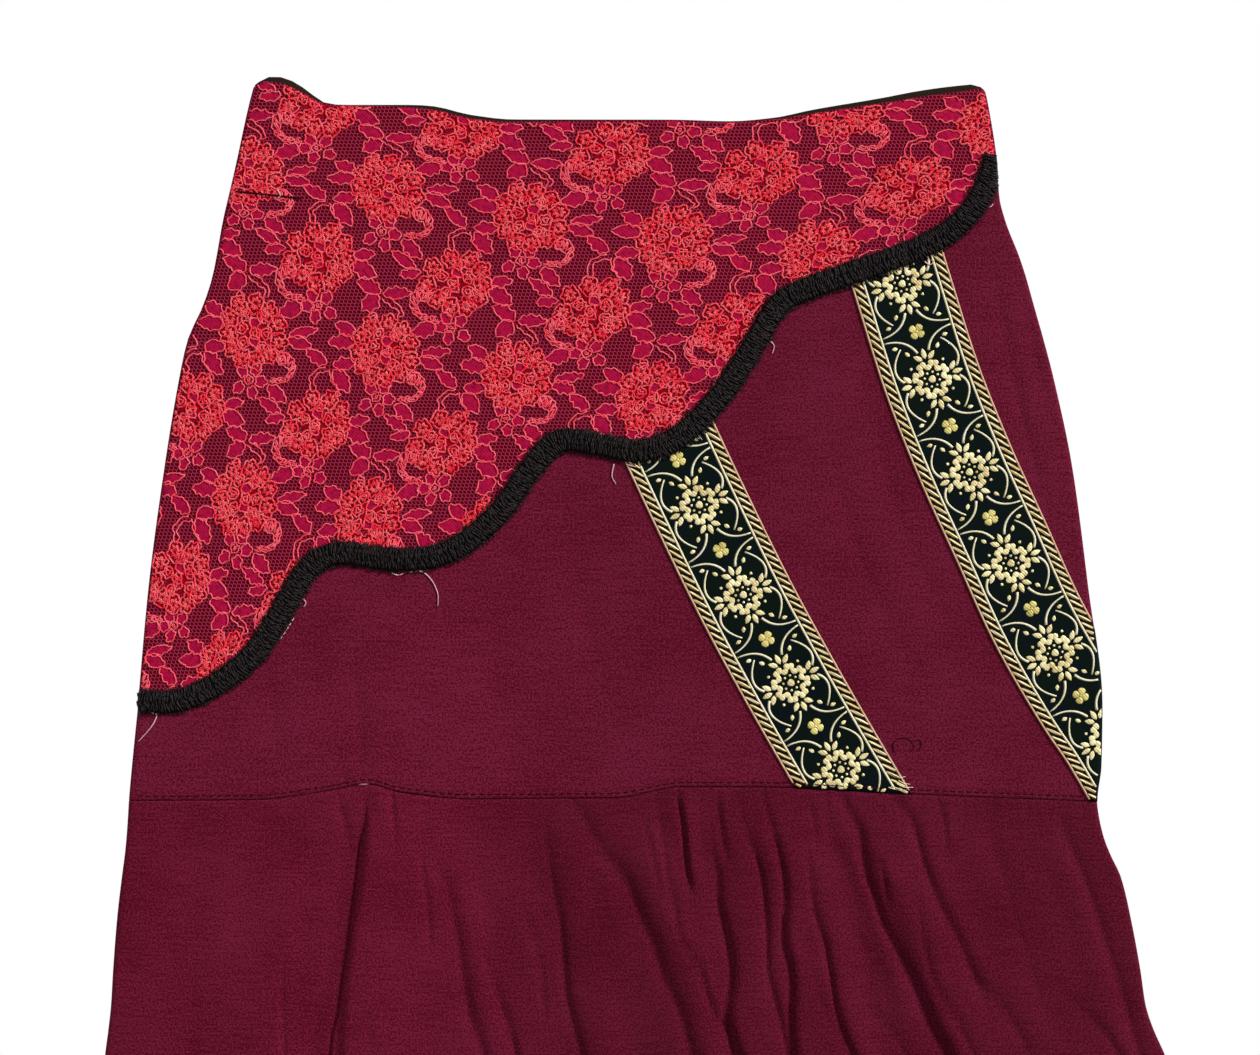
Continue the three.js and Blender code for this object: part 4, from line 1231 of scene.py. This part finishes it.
# True where a ribbon shows: below the braid, above the yoke's seam and inside the right side.
def inRibbon(x, y):
    across, down = shareAt(x, y)
    return (y < scallopY(x) - 2.5) & (down < seamDown(across) - 0.7) & (fromSide(x, down) > 0.9)


# The nearest place of the ribbon in the same column.
def intoRibbon(x, y):
    down = garment["waistY"] - y
    x = np.minimum(x, rightSide(down) - 0.8)
    across, _ = shareAt(x, y)
    return x, np.clip(y, garment["waistY"] - seamDown(across) + 0.6, scallopY(x) - 2.4)


# A ribbon's ground: rows of points across its middle line, from under the braid to the seam, with the
# top rounded off over the outer 0.8 mm. Both ends are found column by column by halving.
def ribbonSheet(which, node):
    rows = ribbonRows[which]
    middle = throughRows(rows)
    share = columnShares(ribbon["columns"], 48)[None, :]

    def column(down):
        slope = middle(down + 0.5) - middle(down - 0.5)
        half = ribbon["width"] / 2 * np.hypot(1, slope)
        right = np.minimum(middle(down) + half, rightSide(down) - 0.05)
        return lerp(middle(down) - half, right, share), slope

    def firstDown(low, high, holds):
        for _ in range(26):
            here = (low + high) / 2
            x, _ = column(here)
            past = holds(x, here)
            low, high = np.where(past, low, here), np.where(past, here, high)
        return high

    def pastSeam(x, down):
        return down > seamDown(shareAt(x, garment["waistY"] - down)[0]) - halfGap

    def pastLace(x, down):
        return garment["waistY"] - down < scallopY(x) - 2

    low = np.full(share.shape, float(rows[0][0]))
    start = firstDown(low, 0 * low + rows[-1][0], pastLace)
    end = firstDown(start, 0 * low + rows[-1][0], pastSeam)
    down = lerp(start, end, np.linspace(0, 1, ribbon["rows"] + 1)[:, None])
    x, slope = column(down)
    y = garment["waistY"] - down
    under = yokeTop(x, y) + garment["gap"]
    far, lineDown, _ = ribbonLine(which)
    across = (x - middle(down)) / np.hypot(1, slope)
    uv = (across, np.interp(down, lineDown, far) + across * slope)
    top = under + ribbon["thick"] * (0.5 + 0.5 * rollOff(ribbon["width"] / 2 - np.abs(across), 0.8))
    name = "ribbon" + which.capitalize()
    piece = shell(name, x, y, top, under, uv, satin, "ribbon")
    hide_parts(node)


# Runs of points across and along both ribbons, cut to the ribbons, as one body of flattened threads.
def ribbonThreads(lines, radius, high, flat):
    points, runs, thick, base = [], [], [], 0
    for which, line in lines:
        x, y = ribbonPlace(which, line[..., 0], line[..., 1])
        points.append(np.stack([x, y], -1).reshape(-1, 2))
        count, long = line.shape[:2]
        runs.append(np.repeat(np.arange(count), long) + base)
        thick.append(np.broadcast_to(radius(np.linspace(0, 1, long)), (count, long)).ravel())
        base += count
    points, runs, thick = np.concatenate(points), np.concatenate(runs), np.concatenate(thick)
    points, runs, keep = clipped(points, runs, inRibbon(points[:, 0], points[:, 1]))
    z = yokeTop(points[:, 0], points[:, 1]) + high
    return tubes(np.column_stack([points, z]), runs, thick[keep], flat=flat)


# How a chart is turned over to fill the four quarters round a flower.
quarters = np.array([(1, 1), (-1, 1), (1, -1), (-1, -1)], float)


# Places of the ribbon's large flowers, across and along it.
def flowerSpots(which):
    first, last = ribbonLine(which)[0][[0, -1]] / ribbon["repeat"]
    along = np.arange(np.ceil(first) - 1, np.floor(last) + 2) * ribbon["repeat"]
    return np.stack([0 * along, along], -1)


# A quadratic curve from start to end, drawn towards its control point.
def bezier(start, control, end, count):
    t = np.linspace(0, 1, count)[:, None]
    return (1 - t) ** 2 * np.array(start) + 2 * t * (1 - t) * np.array(control) + t**2 * np.array(end)


# Gold shapes of one repeat: petals, buds and leaves round the large flower, or the small square one.
def goldShapes():
    shapes = []
    for k in range(16):
        shapes.append(petalOutline(8.2, 22.5 * k + 11 + 3.5 * (-1) ** k, 3.6, 3.0))
    for k in range(8):
        shapes.append(petalOutline(6.2, 45 * k, 3.0, 3.8))
        shapes.append(petalOutline(3.7, 45 * k + 22.5, 1.25, 1.25))
    shapes.append(petalOutline(0, 0, 3.7, 3.7))
    for k in range(4):
        shapes.append(leafOutline(*turned(np.array([10.6, 0]), 90 * k), 90 * k, 5.6, 2.6))
        for lean in (-1, 1):
            base = turned(np.array([10.2, 1.5 * lean]), 90 * k)
            shapes.append(leafOutline(*base, 90 * k + 50 * lean, 5.2, 2.6))
    for turn in quarters:
        shapes.append((petalOutline(0, 0, 1.5, 1.5) + (8.3, 7.9)) * turn)
        shapes.append(leafOutline(7.0, 14.2, 55, 3.2, 1.9) * turn)
        shapes.append(leafOutline(11.6, 19.6, 5, 3.0, 1.9) * turn)
    return np.array(shapes)[:, :-1]


# The small four-petal flower, half a repeat from the large one.
def squareFlower():
    shapes = [petalOutline(2.3, 90 * k + 45, 3.6, 3.7) for k in range(4)]
    shapes.append(petalOutline(0, 0, 1.5, 1.5))
    return np.array(shapes)[:, :-1] + (0, ribbon["repeat"] / 2)


# Gold floats: a low pad for each shape at each repeat of both ribbons, left out past their ends.
def ribbonPads(name, shapes, looks, high):
    bodies = []
    for which in ribbonRows:
        chart = shapes + flowerSpots(which)[:, None, None]
        x, y = ribbonPlace(which, chart[..., 0], chart[..., 1])
        outlines = np.stack([x, y], -1).reshape(-1, *shapes.shape[1:])
        centre = outlines.mean(1)
        outlines = outlines[inRibbon(centre[:, 0], centre[:, 1])]
        bodies.append(pads(outlines, yokeTop, garment["gap"] + ribbon["thick"], high, intoRibbon))
    makePiece(name, *joined(bodies), fillingMaterial(name + " gold floats", looks), "ribbon")


satin = satinMaterial(woven["satin"])
ribbonSheet("centre", "ribbon_centre")
ribbonSheet("side", "ribbon_side")
ribbonPads("ribbonFlowers", goldShapes(), woven["gold"], 0.3)
ribbonPads("ribbonSquares", squareFlower(), woven["olive"], 0.3)


# Raised threads: arcs round the flowers, slanting rope strands, inner lines and edges.
def ribbonLines():
    arcCharts = [
        bezier((13.6, 2.6), (20.2, 9.2), (10.4, 18.8), 12),
        bezier((2.9, 14.5), (6.1, 23.0), (17.2, 23.7), 12),
    ]
    arcs, ropes, inner, outer = [], [], [], []
    for which in ribbonRows:
        spots = flowerSpots(which)
        for chart in arcCharts:
            for turn in quarters:
                arcs.append((which, chart * turn + spots[:, None]))
        far = ribbonLine(which)[0]
        starts = np.arange(far[0], far[-1], ribbon["ropePitch"])
        t = np.linspace(0, 1, 8)
        for start in ribbon["ropesFrom"]:
            line = (start + ribbon["ropeWidth"] * t, starts[:, None] + ribbon["ropeRise"] * (t - 0.5))
            ropes.append((which, np.stack(np.broadcast_arrays(*line), -1)))
        along = np.arange(far[0], far[-1], 2.0)[None]
        for sign in (-1, 1):
            inner.append((which, np.stack([0 * along + sign * ribbon["innerLine"], along], -1)))
            outer.append((which, np.stack([0 * along + sign * ribbon["edgeLine"], along], -1)))
    level = garment["gap"] + ribbon["thick"] + 0.1

    def ropeRadius(t):
        return 0.72 * np.sqrt(np.sin(np.pi * lerp(0.08, 0.92, t)))

    pieces = {
        "ribbonArcs": (arcs, lambda t: 0.66 - 0.25 * t, woven["line"], level, 0.4),
        "ribbonRopes": (ropes, ropeRadius, woven["rope"], level, 0.5),
        "ribbonInnerLines": (inner, lambda t: 0.56 * np.ones_like(t), woven["line"], level, 0.5),
        "ribbonEdges": (outer, lambda t: 0.5 * np.ones_like(t), woven["edge"], level - 0.1, 0.6),
    }
    for name, (lines, radius, looks, high, flat) in pieces.items():
        body = ribbonThreads(lines, radius, high, flat)
        makePiece(name, *body, yarnMaterial(name + " lurex and rayon thread", looks), "ribbon")


ribbonLines()
print("ribbons done")

# Sewing: the topstitching above the yoke's seam, the hem's two rows, the tuck in the lace, and the
# cut thread ends that were left round the braid.
sewing = {
    "stitch": 2.7,
    "hemRows": (9, 12),  # above the hem
    "hemPitch": 3.4,
    "hemStitch": 2.4,
    "thread": 0.26,
    "tuck": {
        "across": (0.004, 0.1), "down": 57.5, "slant": 40, "rise": 1.3,
        "pitch": 3.0, "stitch": 2.9, "thread": 0.5,
    },
    # The burgundy thread is dark burgundy, painted darker still as the shade of the pits the stitches pull
    # in.
    "burgundy": {
        "colour": "#33020e", "lit": "#480618", "grooveShade": "#200106", "twist": 1, "patch": 300,
        "rough": 0.7, "gloss": 0.04,
    },
    "pink": {
        "colour": "#d79aa2", "lit": "#efc9c9", "grooveShade": "#a86a76", "twist": 1, "patch": 200,
        "rough": 0.6, "gloss": 0.3, "sheen": 0.2,
    },
}
# Thread ends: x, y points, left to right.
threadEnds = [
    [(-269, 72.5), (-266, 71), (-263.5, 72.5)],
    [(-265, 71), (-268, 65), (-275, 57)],
    [(-193, 129), (-191, 127), (-192, 124.5)],
    [(-197, 119), (-200, 114), (-204, 108)],
    [(-217, 96), (-219, 93)],
    [(-232, 82), (-236, 80.5), (-238, 82)],
    [(-148, 141.5), (-145, 140.5), (-141.5, 141.5)],
    [(-139, 142), (-134, 142.5), (-131, 141), (-127.5, 137), (-125, 131), (-125, 125)],
    [(-37, 196), (-38, 190), (-36, 186)],
    [(-30, 195.5), (-26, 194.5)],
    [(2, 212), (5, 210.5), (7, 208)],
    [(40.5, 258), (43, 255), (42, 251)],
    [(118, 297), (121, 295.5), (123, 297.5)],
    [(149.5, 326), (151, 324.5), (152.5, 326)],
    [(-161, -4), (-160.4, -7)],
]
# Burgundy ones at the pulled stitch beside the middle ribbon, and gold ones at its frayed corner.
darkEnds = [
    [(103, 52), (102.5, 56), (106, 59), (111, 58), (113, 54.5), (111, 52)],
    [(113.5, 57.5), (116, 58), (116.5, 55), (115, 52.5)],
]
goldEnds = [
    [(105, 38), (108, 36.5), (111, 36)],
    [(104, 36.5), (108, 34.6), (112.5, 34.4)],
    [(102, 41), (106, 39.5), (108.5, 39.8)],
    [(100, 34.5), (104.5, 33.4), (109, 33.2)],
]
laceNubs = [[(-205, 333), (-203.5, 330), (-205, 328.5)]]


# Arched stitches along a line given by shares across and how far down they lie.
def stitchRow(across, down, surface, pitch, stitch):
    line = np.stack(placeAt(across, down), -1)
    far = distances(line)
    starts = np.arange(2, far[-1] - 4, pitch)
    t = np.linspace(0, 1, 5)
    along = starts[:, None] + stitch * t
    x, y = np.interp(along, far, line[:, 0]), np.interp(along, far, line[:, 1])
    z = surface(x, y) + 0.34 * np.sin(np.pi * t) - 0.1
    runs = np.repeat(np.arange(len(starts)), len(t))
    return np.stack([x, y, z], -1).reshape(-1, 3), runs


# Top of the front tier near its hem, from its own grid.
def tierHeight(x, y):
    rows = tierPoints[-24:]
    spots = rows[..., :2].reshape(-1, 2)
    heights = rows[..., 2].ravel()
    found = np.empty(x.size)
    flatX, flatY = x.ravel(), y.ravel()
    for start in range(0, x.size, 500):
        part = slice(start, start + 500)
        near = (flatX[part, None] - spots[:, 0]) ** 2 + (flatY[part, None] - spots[:, 1]) ** 2
        found[part] = heights[near.argmin(1)]
    return found.reshape(x.shape)


# One row of stitches above the yoke's seam and two above the hem.
def seamStitches():
    across = np.linspace(0.006, 0.994, 900)
    hem = hemDown(across) - garment["hemDrawUp"] * foldAt(across, np.ones_like(across))

    def overRibbon(x, y):
        return yokeTop(x, y) + np.where(onRibbon(x, y), 1.0, 0)

    rows = [
        (seamDown(across) - garment["stitchesAt"], overRibbon, garment["stitchPitch"], sewing["stitch"]),
        (hem - sewing["hemRows"][0], tierHeight, sewing["hemPitch"], sewing["hemStitch"]),
        (hem - sewing["hemRows"][1], tierHeight, sewing["hemPitch"], sewing["hemStitch"]),
    ]
    bodies = [tubes(*stitchRow(across, *row), sewing["thread"]) for row in rows]
    thread = yarnMaterial("burgundy polyester thread", sewing["burgundy"])
    makePiece("seamStitches", *joined(bodies), thread, "jersey")


# The short tuck pinched in the lace at the left side, a line of tight stitches.
def tuckLine():
    tuck = sewing["tuck"]
    across = np.linspace(*tuck["across"], 60)

    def overLace(x, y):
        return yokeTop(x, y) + tuck["rise"]

    row = stitchRow(across, tuck["down"] + tuck["slant"] * across, overLace, tuck["pitch"], tuck["stitch"])
    thread = yarnMaterial("tuck thread", sewing["burgundy"])
    makePiece("laceTuck", *tubes(*row, tuck["thread"]), thread, "lace")


# Thread ends that lie on the skirt: tubes through their points that thin to half at the tip.
def looseThreads(name, threads, thick, looks, slot):
    bodies = []
    for ends in threads:
        line = smoothLine(ends, 5 * len(ends))
        z = coveredTop(line[:, 0], line[:, 1]) + thick
        radius = thick * (1 - 0.5 * np.linspace(0, 1, len(line)))
        bodies.append(tubes(np.column_stack([line, z]), np.zeros(len(line), int), radius, corners=6))
    makePiece(name, *joined(bodies), yarnMaterial(name + " thread", looks), slot)


seamStitches()
tuckLine()
looseThreads("threadEnds", threadEnds + laceNubs, 0.36, sewing["pink"], "braid")
looseThreads("pulledThreads", darkEnds, 0.24, sewing["burgundy"], "jersey")
looseThreads("frayedThreads", goldEnds, 0.26, woven["line"], "ribbon")
print("sewing done")

# Camera straight above, as the photograph looks down on the laid skirt.
shot = {
    "middle": (-0.029, 0.16425),
    "width": 0.630,  # of what the picture shows
    "clothTop": 0.003,
    "lens": 50,
    "sensor": 36,
}
camera = bpy.data.objects.new("camera", bpy.data.cameras.new("camera"))
camera.data.lens, camera.data.sensor_width = shot["lens"], shot["sensor"]
camera.data.clip_start = 0.05
camera.location = (*shot["middle"], shot["clothTop"] + shot["width"] * shot["lens"] / shot["sensor"])
scene.collection.objects.link(camera)
scene.camera = camera

# Soft studio light: a large key from the right and above the waist, a fill, and a pale room.
lights = {
    "key": {"at": (5.1, 3.3, 3.3), "size": 2.05, "watts": 760},
    "fill": {"at": (-1.3, 0.4, 1.9), "size": 1.8, "watts": 19},
}
world = bpy.data.worlds.new("pale room")
world.use_nodes = True
world.node_tree.nodes["Background"].inputs[0].default_value = (1, 1, 1, 1)
world.node_tree.nodes["Background"].inputs[1].default_value = 0.2
scene.world = world
for name, light in lights.items():
    lamp = bpy.data.lights.new(name, "AREA")
    lamp.shape, lamp.size, lamp.energy = "DISK", light["size"], light["watts"]
    holder = bpy.data.objects.new(name, lamp)
    holder.location = light["at"]
    aim = np.array((*shot["middle"], 0)) - light["at"]
    holder.rotation_euler = (np.arctan2(np.hypot(aim[0], aim[1]), -aim[2]), 0, np.arctan2(-aim[0], aim[1]))
    scene.collection.objects.link(holder)
scene.view_settings.view_transform = "Standard"

# The floor, a pale light table: it glows evenly, so the cloth on it throws no shadow there.
floorMaterial, addFloorNode = newMaterial("glowing white board")
glow = addFloorNode("Emission", {"Color": (1, 1, 1, 1), "Strength": 1.0})
addFloorNode("OutputMaterial", {0: glow})
floorMesh = bpy.data.meshes.new("floor")
reach, drop = 4, -0.0004
corners = [(x * reach, y * reach, drop) for x, y in ((-1, -1), (1, -1), (1, 1), (-1, 1))]
floorMesh.from_pydata(corners, [], [(0, 1, 2, 3)])
floorMesh.materials.append(floorMaterial)
floorPiece = bpy.data.objects.new("floor", floorMesh)
scene.collection.objects.link(floorPiece)
